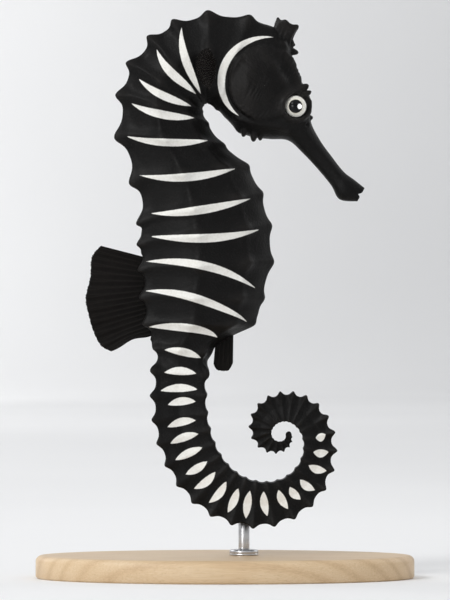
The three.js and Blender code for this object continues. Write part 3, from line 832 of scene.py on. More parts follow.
weld_tree = tree_of(np.array(weld))
from_weld = np.array([weld_tree.find(point)[2] for point in welded])
near = skin.vertex_groups.new(name="near_weld")
for k in np.flatnonzero(from_weld < FILLET["reach"]):
    near.add([int(k)], float(1 - from_weld[k] / FILLET["reach"]) ** FILLET["power"], "REPLACE")
fillet = skin.modifiers.new("fillet", "SMOOTH")
fillet.vertex_group, fillet.factor, fillet.iterations = "near_weld", FILLET["pull"], FILLET["steps"]
skin.data = bpy.data.meshes.new_from_object(skin.evaluated_get(bpy.context.evaluated_depsgraph_get()))
skin.modifiers.clear()
skin.vertex_groups.clear()
skin.data.shade_smooth()
after = places(skin)
print("the fillet moves points by up to", np.linalg.norm(after - welded, axis=-1).max().round(2), "mm")

# %% [markdown]
# ## The ivory bars
#
# Every trunk ring carries one pale crescent on each flank, the tail rings carry short almonds that shrink
# along the coil, and one long crescent follows the gill cover. A painted mask would tie the bars to a
# picture of the skin. Here each bar is a centre line with a half thickness, laid out in ring numbers. Every
# point of the skin keeps its distance from the nearest centre line and the half thickness there, and the
# finish compares the two, so even the thin ends of a bar stay sharp between the mesh's points.

# %% Where the bars lie: middle, slope and bow in rings, start and end as shares from back to belly
TRUNK_BARS = {  # one value for each of the rings 1 to 11
    "middle": (1.26, 2.35, 3.55, 4.3, 5.15, 6.16, 7.12, 8.16, 9.03, 10.08, 11.18),
    "slope": (0.39, -0.17, -0.07, -0.15, -0.09, 0.15, 0.23, 0.27, 0.91, 1.05, 0.29),
    "bow": (0.17, 0.3, 0.23, 0.18, 0.16, 0.14, 0.13, 0.22, -0.21, -0.29, -0.15),
    "from": (0.12, 0.18, 0.2, 0.17, 0.11, 0.1, 0.12, 0.1, 0.06, 0.05, 0.05),
    "to": (0.88, 0.85, 0.84, 0.84, 0.86, 0.87, 0.885, 0.9, 0.9, 0.905, 0.8),
    "half": 0.84,  # mm
}
TAIL_BARS = {  # one value for each bar down the tail
    "middle": (
        12.06, 12.9, 13.66, 14.27, 15.26, 16.04, 16.9, 17.85, 18.75, 19.75,
        20.7, 21.55, 22.6, 23.75, 24.6, 25.5, 26.7, 27.75, 28.85,
    ),
    "from": (
        0.21, 0.24, 0.19, 0.31, 0.26, 0.24, 0.22, 0.26, 0.22, 0.21,
        0.22, 0.2, 0.26, 0.29, 0.33, 0.24, 0.21, 0.26, 0.3,
    ),
    "to": (
        0.86, 0.79, 0.83, 0.8, 0.77, 0.77, 0.76, 0.72, 0.73, 0.74,
        0.75, 0.78, 0.8, 0.78, 0.73, 0.71, 0.73, 0.7, 0.61,
    ),
    "half": 0.81,
}
TAIL_SLOPE = {"plain": -0.1, "at_turn": 0.2, "at_root": 0.27}
TAIL_BOW = {"plain": -0.09, "at_turn": 0.22}
TURN_BARS = {"middle": 8.5, "reach": 2.2}  # bars counted from 0 down the tail, where it turns hardest
ROOT_REACH = 0.6  # bars from the first


def bars():
    """Each bar's middle, slope, bow, start, end and half thickness."""
    for row in zip(*(TRUNK_BARS[key] for key in ("middle", "slope", "bow", "from", "to"))):
        yield (*row, TRUNK_BARS["half"])
    for k, (middle, start, end) in enumerate(zip(*(TAIL_BARS[key] for key in ("middle", "from", "to")))):
        at_turn = float(bump(k - TURN_BARS["middle"], TURN_BARS["reach"]))  # here they bow the other way
        at_root = float(bump(k, ROOT_REACH))  # the first still slopes like the last one of the trunk
        slope = TAIL_SLOPE["plain"] + TAIL_SLOPE["at_turn"] * at_turn + TAIL_SLOPE["at_root"] * at_root
        yield middle, slope, TAIL_BOW["plain"] + TAIL_BOW["at_turn"] * at_turn, start, end, TAIL_BARS["half"]


print(len(list(bars())), "bars on each flank, and one behind each gill cover")

# %% [markdown]
# A ring number grows along the axis, and the armour leans and bulges round it. So each point first looks up
# the ring it shows at from the side, in a few steps like those of Newton's method.

# %% Ring number from the side
SEARCH = {"steps": 3, "probe": 0.25, "least": 0.3, "most": 0.4}  # rings, and mm2 for the least


def seen_from_side(points, w):
    """Ring numbers that points show at from the side, their shares from back to belly, and ring sizes."""
    flat, probe = points[:, [0, 2]], SEARCH["probe"]
    for _ in range(SEARCH["steps"]):
        back, belly, _ = ring_line(w)
        depth = belly - back
        share = np.sum((flat - back) * depth, -1) / np.sum(depth**2, -1)
        ahead, behind = ring_line(w + probe), ring_line(w - probe)
        step = (ahead[0] - behind[0]) * (1 - share)[:, None] + (ahead[1] - behind[1]) * share[:, None]
        step /= 2 * probe
        off = flat - back - depth * share[:, None]
        move = np.sum(off * step, -1) / np.maximum(np.sum(step**2, -1), SEARCH["least"])
        w = w + np.clip(move, -SEARCH["most"], SEARCH["most"])
    return w, share, np.linalg.norm(depth, axis=-1), np.linalg.norm(step, axis=-1)


grid_tree = tree_of(body_points)
found = [grid_tree.find(point) for point in welded]
nearest, from_body = np.array([hit[1] for hit in found]), np.array([hit[2] for hit in found])
all_w = np.append(grid_w.ravel(), (FIRST, TAIL_TIP))
shift = seen_from_side(after, all_w[nearest])[0] - all_w[nearest]
print("from the side, points show up to", np.abs(shift).max().round(2), "rings from their own")

# %% Distance of each point from the bars
LENS_POWER = 0.9
NO_BAR = -5.0
MIDDLE_DARK = {"within": 0.8, "out_to": 1.4, "depth": 2.0}  # mm from the middle plane, where no bar reaches
GILL_BAR = {
    "middle": (15.75, 51.75), "radius": 8.9, "closing": 2.7, "turns": (79, 229), "half": 0.78,
    "before_ring": 1.5,
}


def lens(t, half, length):
    """Half thickness along a bar, falling to nothing at its ends and counting on below zero past them."""
    inside = half * (4 * np.clip(t * (1 - t), 0, None)) ** LENS_POWER
    return inside - length * np.maximum(0, np.abs(t - 0.5) - 0.5)


def gill_bar(x, z):
    """How far a place is from the gill bar's centre line, and the bar's half thickness there."""
    gill_x, gill_z = GILL_BAR["middle"]
    start, end = GILL_BAR["turns"]
    t = (np.degrees(np.arctan2(z - gill_z, x - gill_x)) % 360 - start) / (end - start)
    off = GILL_BAR["radius"] - GILL_BAR["closing"] * (t - 0.5) - np.hypot(x - gill_x, z - gill_z)
    return off, lens(t, GILL_BAR["half"], np.radians(end - start) * GILL_BAR["radius"])


def nearest_bar(points, w):
    """How far each point is from its nearest bar's centre line, and the bar's half thickness there, in mm.

    The distance counts down the body across every second bar and up it across the others, so that two
    neighbours agree on the sign where they meet, and no false line of zero runs between them.
    """
    x, y, z = points.T
    head = w < GILL_BAR["before_ring"]
    w, share, deep, pitch = seen_from_side(points, w)
    on_flank = smoothstep(MIDDLE_DARK["within"], MIDDLE_DARK["out_to"], np.abs(y))
    off_flank = MIDDLE_DARK["depth"] * (1 - on_flank)
    lines, sign = [], 1
    for middle, slope, bow, start, end, half in bars():
        t = (share - start) / (end - start)
        centre = middle + slope * (t - 0.5) + bow * (4 * t * (1 - t) - 1)
        lines.append(((w - centre) * pitch * sign, lens(t, half, deep * (end - start)) - off_flank))
        sign = -sign
    off, half = gill_bar(x, z)
    lines.append((off, np.where(head, half, NO_BAR)))
    off, half = (np.array(part) for part in zip(*lines))
    best = np.argmax(half - np.abs(off), axis=0)[None]
    return (np.take_along_axis(part, best, 0)[0] for part in (off, half))


bar_off, bar_half = nearest_bar(after, all_w[nearest])
print("share of the points in bars:", np.mean(bar_half > np.abs(bar_off)).round(3))

# %% Write the notes on the skin
ON_SPINES = {"per_mm": 1.5, "most": 0.9}  # the armour's height there, by the distance from the body

all_height = np.append(grid_height.ravel(), (0, 0))
skin_height = np.maximum(all_height[nearest], np.clip(from_body * ON_SPINES["per_mm"], 0, ON_SPINES["most"]))
note(skin, "bar_off", bar_off)
note(skin, "bar_half", bar_half)
# The finish also reads this height to paint the knobs paler and the sunk plates darker: painted highlight
# and shade over the real relief.
note(skin, "height", skin_height)
triangles = sum(len(side.vertices) - 2 for side in skin.data.polygons)
print("skin:", len(after), "points,", triangles, "triangles")

# %% [markdown]
# ## Writing finishes as sums
#
# A finish is a small calculation made at every point of a surface. Wired up by hand it is a web of Math
# nodes; written as sums it reads like the idea behind it. `Wire` wraps a socket and turns the usual
# operators into Math nodes. `Finish` makes any other node, and sets what is the same all over on the
# shader's own sockets.

# %% Wire
class Wire:
    """A socket that takes part in sums."""

    def __init__(self, tree, socket):
        self.tree, self.socket = tree, socket

    def sum_of(self, operation, first, second, clamp=False):
        node = self.tree.nodes.new("ShaderNodeMath")
        node.operation, node.use_clamp = operation, clamp
        for socket, value in zip(node.inputs, (first, second)):
            feed(self.tree, socket, value)
        return Wire(self.tree, node.outputs[0])

    def __add__(self, other):
        return self.sum_of("ADD", self, other)

    def __sub__(self, other):
        return self.sum_of("SUBTRACT", self, other)

    def __rsub__(self, other):
        return self.sum_of("SUBTRACT", other, self)

    def __mul__(self, other):
        return self.sum_of("MULTIPLY", self, other)

    def __truediv__(self, other):
        return self.sum_of("DIVIDE", self, other)

    def __pow__(self, other):
        return self.sum_of("POWER", self, other)

    __radd__, __rmul__ = __add__, __mul__

    def clamped(self):
        return self.sum_of("ADD", self, 0.0, clamp=True)


def feed(tree, socket, value):
    if isinstance(value, Wire):
        tree.links.new(value.socket, socket)
    else:
        socket.default_value = value


# %% Finish
class Finish:
    """A material on one Principled shader."""

    def __init__(self, name, **constants):
        self.material = bpy.data.materials.new(name)
        self.material.use_nodes = True
        self.tree = self.material.node_tree
        self.shader = self.tree.nodes["Principled BSDF"]
        self.drive(**constants)

    def drive(self, **sockets):
        for name, value in sockets.items():
            feed(self.tree, self.shader.inputs[name.replace("_", " ")], value)

    def node(self, kind, settings=(), sockets=(), out=0):
        """Makes a node of a kind, with its settings and then its sockets, and gives one of its outputs."""
        made = self.tree.nodes.new("ShaderNode" + kind)
        for name, value in dict(settings).items():
            if name == "stops":
                ramp = made.color_ramp.elements
                while len(ramp) < len(value):
                    ramp.new(0.5)
                for stop, (place, colour) in zip(ramp, value):
                    stop.position, stop.color = place, colour
            else:
                setattr(made, name, value)
        for name, value in dict(sockets).items():
            feed(self.tree, made.inputs[name], value)
        return Wire(self.tree, made.outputs[out])

    def place(self):
        return self.node("TexCoord", out="Object")

    def size_of(self, wire):
        return self.node("Math", {"operation": "ABSOLUTE"}, {0: wire})

    def wave(self, wire):
        return self.node("Math", {"operation": "SINE"}, {0: wire})

    def noted(self, name):
        return self.node("Attribute", {"attribute_name": name}, out="Fac")

    def noise(self, size, detail=3.0):
        """Clouds from 0 to 1 whose features are about this many mm across."""
        sockets = {"Vector": self.place(), "Scale": 1 / (size * MM), "Detail": detail, "Roughness": 0.5}
        return self.node("TexNoise", (), sockets)

    def stretched(self, x, y, z):
        """The place, counted in units of so many mm along each axis."""
        scale = tuple(1 / (side * MM) for side in (x, y, z))
        return self.node("VectorMath", {"operation": "MULTIPLY"}, {0: self.place(), 1: scale})

    def streaks(self, x, y, z, detail):
        """Clouds drawn out to so many mm along each axis."""
        return self.node("TexNoise", (), {"Vector": self.stretched(x, y, z), "Scale": 1.0, "Detail": detail})

    def blend(self, share, first, second):
        """One colour turning into another as a share goes from 0 to 1."""
        return self.node("Mix", {"data_type": "RGBA"}, {0: share, 6: first, 7: second}, out=2)

    def ramp(self, share, stops):
        return self.node("ValToRGB", {"stops": stops}, {0: share})

    def relief(self, height, depth, under=None):
        """A normal from a height of 0 to 1 that stands for this many mm."""
        sockets = {"Height": height, "Distance": depth * MM, "Strength": 1.0}
        if under:
            sockets["Normal"] = under
        return self.node("Bump", (), sockets)


def tone(red, green, blue):
    return red, green, blue, 1.0


# %% [markdown]
# ## The skin's finish
#
# A seahorse has no scales, only thin skin stretched over bone. The darkest ones are a warm, near-black
# brown with a satin sheen. The colour is painted paler on the knobs, partly as skin worn tight over them and
# partly as a painted highlight, and darker in the sunk plates between them as painted shade. Close to, it
# has three sizes of detail: cloudy patches of a few mm, a leathery grain with small pits, and a fine dust of
# pigment.
# The bars are ivory, slightly mottled, with an edge that wanders by a few hundredths of a mm as pigment
# does.

# %% Near-black skin with ivory bars
DARK_SKIN_WEAR_AND_SHADE = [
    (0.0, tone(0.0017, 0.0015, 0.0014)),
    (0.3, tone(0.003, 0.0027, 0.0025)),
    (0.65, tone(0.0095, 0.0084, 0.0077)),
    (1.0, tone(0.027, 0.0237, 0.0213)),
]
IVORY = [(0.3, tone(0.7, 0.683, 0.63)), (0.5, tone(0.78, 0.768, 0.725)), (0.7, tone(0.84, 0.832, 0.8))]
FLECK = tone(0.028, 0.0245, 0.0217)
CLOUDS, FLECKS, GRAIN, DUST, PITS = 3.5, 0.3, 0.45, 0.11, 0.42  # mm across
BAR_EDGE = 11  # how sharply a bar ends, per mm


def skin_finish():
    look = Finish("bony_skin", Specular_IOR_Level=0.12, Coat_Roughness=0.3, Coat_IOR=1.3)
    height = look.noted("height")
    bar = look.noted("bar_half") - look.size_of(look.noted("bar_off"))
    clouds, grain, dust = look.noise(CLOUDS, 4.0), look.noise(GRAIN), look.noise(DUST, 2.0)
    flecks = ((look.noise(FLECKS, 2.0) - 0.63) * 9).clamped() * 0.35
    # The armour's height makes the knob tips paler, partly worn skin and partly a painted highlight, and the
    # sunk plates darker as painted shade.
    dark = look.ramp((height * 0.55 + clouds * 0.5 - 0.18).clamped(), DARK_SKIN_WEAR_AND_SHADE)
    dark = look.blend(flecks, dark, FLECK)
    ivory = look.ramp((clouds * 0.5 + grain * 0.5).clamped(), IVORY)
    mask = ((bar + (grain - 0.5) * 0.1 + (dust - 0.5) * 0.05) * BAR_EDGE + 0.5).clamped()
    pit_sockets = {"Vector": look.place(), "Scale": 1 / (PITS * MM)}
    pits = look.node("TexVoronoi", {"feature": "F1"}, pit_sockets, "Distance")
    fine = look.relief(grain * 0.6 + dust * 0.4, 0.07)
    look.drive(
        Base_Color=look.blend(mask, dark, ivory),
        Roughness=0.42 + grain * 0.2 + mask * 0.04,
        Coat_Weight=(0.16 - mask * 0.08 - dust * 0.08).clamped(),
        Normal=look.relief(pits, 0.06, fine),
    )
    return look.material


FLESH_STARTS = ("snout", "head", "coronet", "neck", "trunk", "tail_")
FLESH = [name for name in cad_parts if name.startswith(FLESH_STARTS)]
dress(skin, skin_finish(), "skin", *FLESH)
print("the skin stands for", len(FLESH), "nodes:", *sorted(FLESH))

# %% [markdown]
# ## The eyes
#
# A seahorse's eye is a turret that swivels on its own: a ball with a bulging clear front, a pale silvery
# iris with fine spokes, and a round black pupil. Fish have no lids, so the bony ring of the skin is its
# only frame. The ball is turned about an axis straight out to the side, a little fuller in front than a
# sphere. Clear glass over a sunken iris would be truer in a film close-up; here a thick gloss coat gives
# the same wet highlight and keeps the iris crisp.

# %% The eye's finish
PUPIL, IRIS = 1.36, 2.14  # radii in mm
IRIS_TONES = [(0.05, tone(0.52, 0.47, 0.36)), (0.35, tone(0.76, 0.74, 0.66)), (0.8, tone(0.85, 0.84, 0.79))]
MOTTLE, RIM_TONE, PUPIL_TONE = tone(0.4, 0.34, 0.24), tone(0.012, 0.01, 0.009), tone(0.003, 0.003, 0.004)


def eye_finish():
    look = Finish("eye", Specular_IOR_Level=0.05, Coat_Weight=1.0, Coat_Roughness=0.03, Coat_IOR=1.24)
    out, turn = look.noted("out"), look.noted("turn")
    spokes = look.node("CombineXYZ", (), {"X": turn * 5.5, "Y": out * 0.5, "Z": 0.0})
    streaks = look.node("TexNoise", (), {"Vector": spokes, "Scale": 2.2, "Detail": 3.0})
    iris = look.ramp(((out - PUPIL) / (IRIS - PUPIL) * 0.5 + streaks * 0.75 - 0.12).clamped(), IRIS_TONES)
    iris = look.blend(((look.noise(0.35) - 0.6) * 4).clamped() * 0.35, iris, MOTTLE)
    rim = ((out - IRIS) * 14 + 0.5).clamped()
    hole = ((PUPIL - out) * 16 + 0.5).clamped()
    rise = ((out - PUPIL) * 4).clamped()
    iris = look.blend(rim, iris, RIM_TONE)
    look.drive(
        Base_Color=look.blend(hole, iris, PUPIL_TONE),
        Roughness=0.3 - hole * 0.2,
        Normal=look.relief(streaks * (1 - hole) * rise, 0.02),
    )
    return look.material


eye_look = eye_finish()
print("eye finish:", len(eye_look.node_tree.nodes), "shader nodes")

# %% Turn the eyes
CORNEA = {"top": 0.9, "radius": 1.75, "rise": 0.16}
EYE_ROWS, EYE_COLUMNS = 49, 72
BEHIND = 9  # what the back half notes as its distance from the axis, well past the iris


def eye_profile():
    turn = np.linspace(0, np.pi, EYE_ROWS)[1:-1]
    radius = EYE["radius"] * np.sin(turn)
    height = -EYE["radius"] * np.cos(turn)
    rise = CORNEA["rise"] * (1 - smoothstep(CORNEA["top"], CORNEA["radius"], radius))
    return list(zip(radius, height + np.where(turn > np.pi / 2, rise, 0)))


def make_eye(side, node, finish):
    middle = np.array(EYE["middle"]) * (1, side, 1)
    rings = turned(eye_profile(), EYE_COLUMNS, middle, middle + (0, side, 0))
    deep = EYE["radius"]
    front = middle + (0, side * (deep + CORNEA["rise"]), 0)
    points, faces = tube(rings, middle - (0, side * deep, 0), front)
    made = make_mesh(node.replace("eye", "eyeball"), points, faces)
    flat = points - middle
    note(made, "out", np.where(flat[:, 1] * side > 0, np.hypot(flat[:, 0], flat[:, 2]), BEHIND))
    note(made, "turn", np.abs(np.arctan2(flat[:, 2], flat[:, 0])))
    return dress(made, finish, "eye", node)


EYES = [make_eye(side, node, eye_look) for side, node in ((1, "eye_left"), (-1, "eye_right"))]

# %% [markdown]
# ## The fins
#
# A seahorse swims with a fan on its back that flutters, steers with a small fan behind each cheek, and has
# a tiny one under the belly. Each is a membrane a few tenths of a mm thick, stiffened by rays that fork
# near the rim and stand a hair beyond it. A flat sheet with drawn rays would look like paper from the back,
# so the rays are raised on both faces of a thin closed solid. The back fin ripples; the side fins stand a
# little away from the neck.

# %% Fans of membrane and rays
FINS = {
    "dorsal": {
        "root": [(-7.2, 17.6), (-6.2, 2.2)],
        "rim": [
            (-16.9, 20.1), (-18.7, 17.8), (-19.0, 13.8), (-19.9, 9.6),
            (-19.3, 6.2), (-18.4, 3.0), (-16.9, 0.1), (-14.8, -1.1),
        ],
        "rays": 18, "ripple": 0.5, "flutter": 0.12, "stance": (0, 0), "hollow": 0.72, "clear": 0.0,
    },
    "anal": {
        "root": [(6.2, 2.4), (9.7, 3.0)],
        "rim": [(5.7, -3.6), (6.3, -4.7), (7.6, -5.0), (8.8, -4.8), (9.6, -3.4)],
        "rays": 5, "ripple": 0.0, "flutter": 0.05, "stance": (0, 0), "hollow": 0.0, "clear": 0.0,
    },
    "pectoral": {
        "root": [(6.2, 57.2), (6.2, 53.6)],
        "rim": [(4.7, 59.5), (3.1, 58.7), (2.3, 56.7), (2.5, 54.4), (3.4, 52.4), (4.9, 51.2)],
        "rays": 14, "ripple": 0.0, "flutter": 0.08, "stance": (4.6, 7.2), "hollow": 0.0, "clear": 0.75,
    },
}
HOLLOW_RAYS = 2.5  # how many of the last rays the hollow in a fin's lower edge reaches
RIPPLE_HALVES = 3  # half waves of the ripple, from the first ray to the last


def fan(fin, across, out):
    """Places on the middle surface of a fin, for shares across and out."""
    foot = np.array(fin["root"][0]) * (1 - across)[..., None] + np.array(fin["root"][1]) * across[..., None]
    rim = through(fin["rim"], across * (len(fin["rim"]) - 1))
    flat = foot + (rim - foot) * out[..., None]
    last_rays = bump((1 - across) * fin["rays"], HOLLOW_RAYS)
    flat[..., 1] += fin["hollow"] * last_rays * np.sin(np.pi * out) ** 3
    low, high = fin["stance"]
    aside = low + (high - low) * np.sqrt(np.clip(out, 0, None))
    aside = aside + fin["ripple"] * out * np.sin(across * np.pi * RIPPLE_HALVES)
    aside = aside + fin["flutter"] * out**2 * np.sin(across * fin["rays"] * np.pi)
    return np.stack([flat[..., 0], aside, flat[..., 1]], -1)


for kind, fin in FINS.items():
    spread = np.linalg.norm(np.diff(fan(fin, np.linspace(0, 1, 50), np.ones(50)), axis=0), axis=-1).sum()
    print(kind, "fin:", fin["rays"], "rays, rim", spread.round(1), "mm long")

# %% Rays and thickness
RAY_FORK = {"apart": 0.17, "over": (0.45, 1.0)}  # widths in gaps between rays, and shares of the way out
RAY_WIDTH = {"at_foot": 0.17, "slimmer_by": 0.07, "over": (0.3, 1.0)}
RAY_END = (1.03, 0.97)
MEMBRANE, RAY = 0.09, 0.2  # half thickness in mm, between rays and on them
TAPER = 0.55
THIN_RIM = {"by": 0.9, "over": (0.985, 1.0)}
THIN_SIDES = {"per_ray": 4, "least": 0.15, "power": 0.5}
RAY_TIPS = {"beyond": 0.022, "over": (0.9, 1.0)}


def ray_height(fin, across, out):
    """1 on a ray and 0 between two, with each ray forked over its outer half."""
    place = across * fin["rays"]
    off = np.abs(place - np.floor(place) - 0.5)
    fork = RAY_FORK["apart"] * smoothstep(*RAY_FORK["over"], out)
    width = RAY_WIDTH["at_foot"] - RAY_WIDTH["slimmer_by"] * smoothstep(*RAY_WIDTH["over"], out)
    return bump(off - fork, width) * smoothstep(*RAY_END, out)


def half_thickness(fin, across, out, rays):
    thick = (MEMBRANE + (RAY - MEMBRANE) * rays) * (1 - TAPER * out)
    thick *= 1 - THIN_RIM["by"] * smoothstep(*THIN_RIM["over"], out)
    from_side = np.minimum(across, 1 - across) * fin["rays"]
    return thick * np.clip(from_side * THIN_SIDES["per_ray"], THIN_SIDES["least"], 1) ** THIN_SIDES["power"]


on_ray = ray_height(FINS["anal"], np.array([0.5, 0.4]), np.array([0.2, 0.2]))
print("height on a ray and between two:", on_ray.round(2))

# %% Make a fin
ROWS_OUT, PER_RAY = 36, 12


def fin_faces(rows, columns):
    """Faces of a thin closed sheet whose rows each run up the near side and back down the far side."""
    faces = ring_faces(rows, 2 * columns, False)
    opposite, last = 2 * columns - 1, (rows - 1) * 2 * columns
    for c in range(columns - 1):
        faces.append((c + 1, c, opposite - c, opposite - c - 1))
        faces.append((last + c, last + c + 1, last + opposite - c - 1, last + opposite - c))
    return faces


def make_fin(kind, node, side, finish):
    fin = FINS[kind]
    columns = fin["rays"] * PER_RAY + 1
    out, across = np.meshgrid(np.linspace(0, 1, ROWS_OUT), np.linspace(0, 1, columns), indexing="ij")
    rays = ray_height(fin, across, out)
    middle = fan(fin, across, out * (1 + RAY_TIPS["beyond"] * rays * smoothstep(*RAY_TIPS["over"], out)))
    middle[..., 1] *= side
    outward = [0, 1, 0] * half_thickness(fin, across, out, rays)[..., None]
    near, far = middle + outward, middle - outward
    loops = np.concatenate([near, far[:, ::-1]], axis=1)
    made = make_mesh(node.replace("fin", "fan"), loops.reshape(-1, 3), fin_faces(ROWS_OUT, columns))
    for name, values in (("out", out), ("rays", rays)):
        note(made, name, np.concatenate([values, values[:, ::-1]], axis=1))
    return dress(made, finish, "fin", node)


# %% [markdown]
# The fins are as dark as the skin. Towards the rim, where the membrane thins, and all over the thin side
# fins, the colour is painted a shade paler and browner: a painted glow for light passing through. The back
# fin reads as solid; the side fins are so thin between their rays that the neck shows through, which the
# Alpha of the shader gives.

# %% Fin finish, and the four fins
MEMBRANE_TONES = [(0.2, (0.002, 0.0018, 0.0016)), (0.8, (0.006, 0.0051, 0.0044))]
RAY_TONES = [(0.2, (0.0045, 0.0039, 0.0035)), (0.8, (0.012, 0.0104, 0.009))]


def fin_finish(name, joint_waves, pale, clear):
    look = Finish(name, Specular_IOR_Level=0.07)
    rays, out = look.noted("rays"), look.noted("out")
    clouds, grain = look.noise(2.2), look.noise(0.25, 2.0)
    joints = look.wave(out * joint_waves + clouds * 9)
    thin, stiff = (
        [(at, tone(*(part * pale for part in colour))) for at, colour in tones]
        for tones in (MEMBRANE_TONES, RAY_TONES)
    )
    # Paler towards the rim, where the membrane thins: a painted glow for light passing through it.
    membrane = look.ramp((clouds * 0.7 + out * 0.3).clamped(), thin)
    ray = look.ramp((grain * 0.6 + joints * 0.04 + 0.2).clamped(), stiff)
    look.drive(Base_Color=look.blend(rays, membrane, ray), Roughness=0.48 + grain * 0.2)
    look.drive(Normal=look.relief(grain * 0.6 + joints * rays * 0.1, 0.03))
    if clear:
        look.drive(Alpha=(1 - clear + rays * 0.8 + (1 - out) * 0.25).clamped())
    return look.material


dark_fin = fin_finish("fin_dark", 110, 1.0, 0.0)
# The thin side fins take tones 1.8 times paler: a painted glow for light passing through them.
thin_fin = fin_finish("fin_thin", 40, 1.8, FINS["pectoral"]["clear"])
make_fin("dorsal", "dorsal_fin", 1, dark_fin)
make_fin("anal", "anal_fin", 1, dark_fin)
make_fin("pectoral", "pectoral_fin_left", 1, thin_fin)
make_fin("pectoral", "pectoral_fin_right", -1, thin_fin)

# %% [markdown]
# ## The stand
#
# A small oval of pale maple, turned with a rounded upper edge, sanded and oiled; a bright steel rod in its
# hole, and a thin steel collar that hides the joint. The frame's oval is made of flats, which is right for
# CAD and shows in a close view, so a smooth one of the same size takes its place. The edge is a row of
# insets along the oval's own normal: scaling the outline would make the rounding wider at the ends than
# along the sides.

# %% The base, in mm
BASE = {"columns": 160, "edge": 1.25, "edge_steps": 9, "chamfer": 0.4, "underside": 0.96}
BASE_TOP_INSETS = (0.25, 3, 9)  # past the rounded edge


def size_and_foot(box):
    """A box's size, and the middle of its underside, in mm."""
    low, high = (np.array(corner) / MM for corner in box)
    return high - low, (low + high) * (0.5, 0.5, 0) + low * (0, 0, 1)


def oval_rings(profile, half_x, half_y, columns):
    """Rings for (inset, height) steps, kept a true inset from an oval outline."""
    turn = np.arange(columns) * 2 * np.pi / columns
    outline = np.stack([half_x * np.cos(turn), half_y * np.sin(turn)], -1)
    normal = np.stack([np.cos(turn) / half_x, np.sin(turn) / half_y], -1)
    normal /= np.linalg.norm(normal, axis=-1, keepdims=True)
    return np.array([np.c_[outline - normal * inset, np.full(columns, height)] for inset, height in profile])


def make_base():
    size, foot = size_and_foot(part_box("stand_base"))
    print("base:", size.round(1), "mm")
    tall, edge, chamfer = size[2], BASE["edge"], BASE["chamfer"]
    turn = np.radians(np.linspace(0, 90, BASE["edge_steps"]))
    profile = [(BASE["underside"], 0), (chamfer, 0), (0, chamfer), (0, tall - edge)]
    profile += [(edge * (1 - np.cos(a)), tall - edge + edge * np.sin(a)) for a in turn[1:]]
    profile += [(edge + further, tall) for further in BASE_TOP_INSETS]
    rings = oval_rings(profile, *size[:2] / 2, BASE["columns"])
    points, faces = tube(rings, (0, 0, 0), (0, 0, tall))
    return make_mesh("stand_oval", points, faces, foot)


# %% Rod and collar, in mm
ROD = {"columns": 48, "edge": 0.15}
COLLAR = {
    "columns": 64, "wall": 1.55, "edge": 0.4, "edge_steps": 7, "foot": 0.05, "bore_edge": 0.15,
    "groove": [(0, 0.28), (-0.08, 0.34), (0, 0.4)],
}


def make_turned(name, node, profile, columns, hollow=False):
    size, foot = size_and_foot(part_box(node))
    print(name, size.round(1), "mm")
    poles = () if hollow else ((0, 0, 0), (0, 0, size[2]))
    points, faces = tube(turned(profile(size), columns), *poles)
    return make_mesh(name, points, faces, foot)


def rod_profile(size):
    radius, tall, edge = size[0] / 2, size[2], ROD["edge"]
    side = [(radius, edge), (radius, tall * 0.5), (radius, tall - edge)]
    return [(radius - edge, 0), *side, (radius - edge, tall)]


def collar_profile(size):
    radius, tall, bore = size[0] / 2, size[2], size[0] / 2 - COLLAR["wall"]
    edge, foot, bore_edge = COLLAR["edge"], COLLAR["foot"], COLLAR["bore_edge"]
    turn = np.radians(np.linspace(0, 90, COLLAR["edge_steps"]))
    profile = [(bore, 0), (radius - foot, 0), (radius, foot)]
    profile += [(radius + cut, up) for cut, up in COLLAR["groove"]]
    profile += [(radius - edge + edge * np.cos(a), tall - edge + edge * np.sin(a)) for a in turn]
    return profile + [(bore + bore_edge, tall), (bore, tall - bore_edge)]


# %% [markdown]
# Maple shows soft growth rings, a fine fibre along the grain and small darker pores. The grain runs along
# the base, so the clouds behind the fibre and the pores are drawn out that way. The steel is brushed as it
# turns, so its fine lines run round the rod and the collar. Pictures of wood and steel would be quicker, but
# they would have to be wrapped round each piece, and these sums fill the solid and need no wrapping.

# %% Maple and steel, and the stand's three pieces
MAPLE = [(0.2, tone(0.72, 0.56, 0.37)), (0.5, tone(0.62, 0.45, 0.27)), (0.85, tone(0.46, 0.3, 0.165))]
PORE = tone(0.3, 0.18, 0.09)
STEEL = [(0.3, tone(0.46, 0.46, 0.47)), (0.7, tone(0.66, 0.66, 0.67))]


def maple_finish():
    look = Finish("oiled_maple", Specular_IOR_Level=0.45, Coat_Weight=0.18, Coat_Roughness=0.28)
    bend = look.streaks(85, 15, 15, 1.0)
    across, height = (look.node("SeparateXYZ", (), {0: look.stretched(60, 5.2, 5.2)}, axis) for axis in "YZ")
    rings = across * 1.3 + height * 0.8 + bend * 2.4
    growth = look.wave(rings * 6.3) * 0.5 + 0.5
    fibre, pores = look.streaks(7, 0.22, 0.22, 3.0), look.streaks(2.2, 0.12, 0.12, 1.0)
    patches = look.noise(12, 2.0)
    wood = look.ramp((growth**2.2 * 0.2 + fibre * 0.5 + patches * 0.3).clamped(), MAPLE)
    wood = look.blend(((pores - 0.62) * 7).clamped() * 0.4, wood, PORE)
    look.drive(Base_Color=wood, Roughness=0.36 + fibre * 0.2)
    look.drive(Normal=look.relief(fibre * 0.6 + pores * 0.4, 0.03))
    return look.material


def steel_finish():
    look = Finish("brushed_steel", Metallic=1.0, Specular_IOR_Level=0.5)
    brushing = look.streaks(1.4, 1.4, 0.05, 2.0)
    steel = look.ramp((brushing * 0.6 + look.noise(1.5, 2.0) * 0.4).clamped(), STEEL)
    look.drive(Base_Color=steel, Roughness=0.2 + brushing * 0.2, Normal=look.relief(brushing, 0.01))
    return look.material


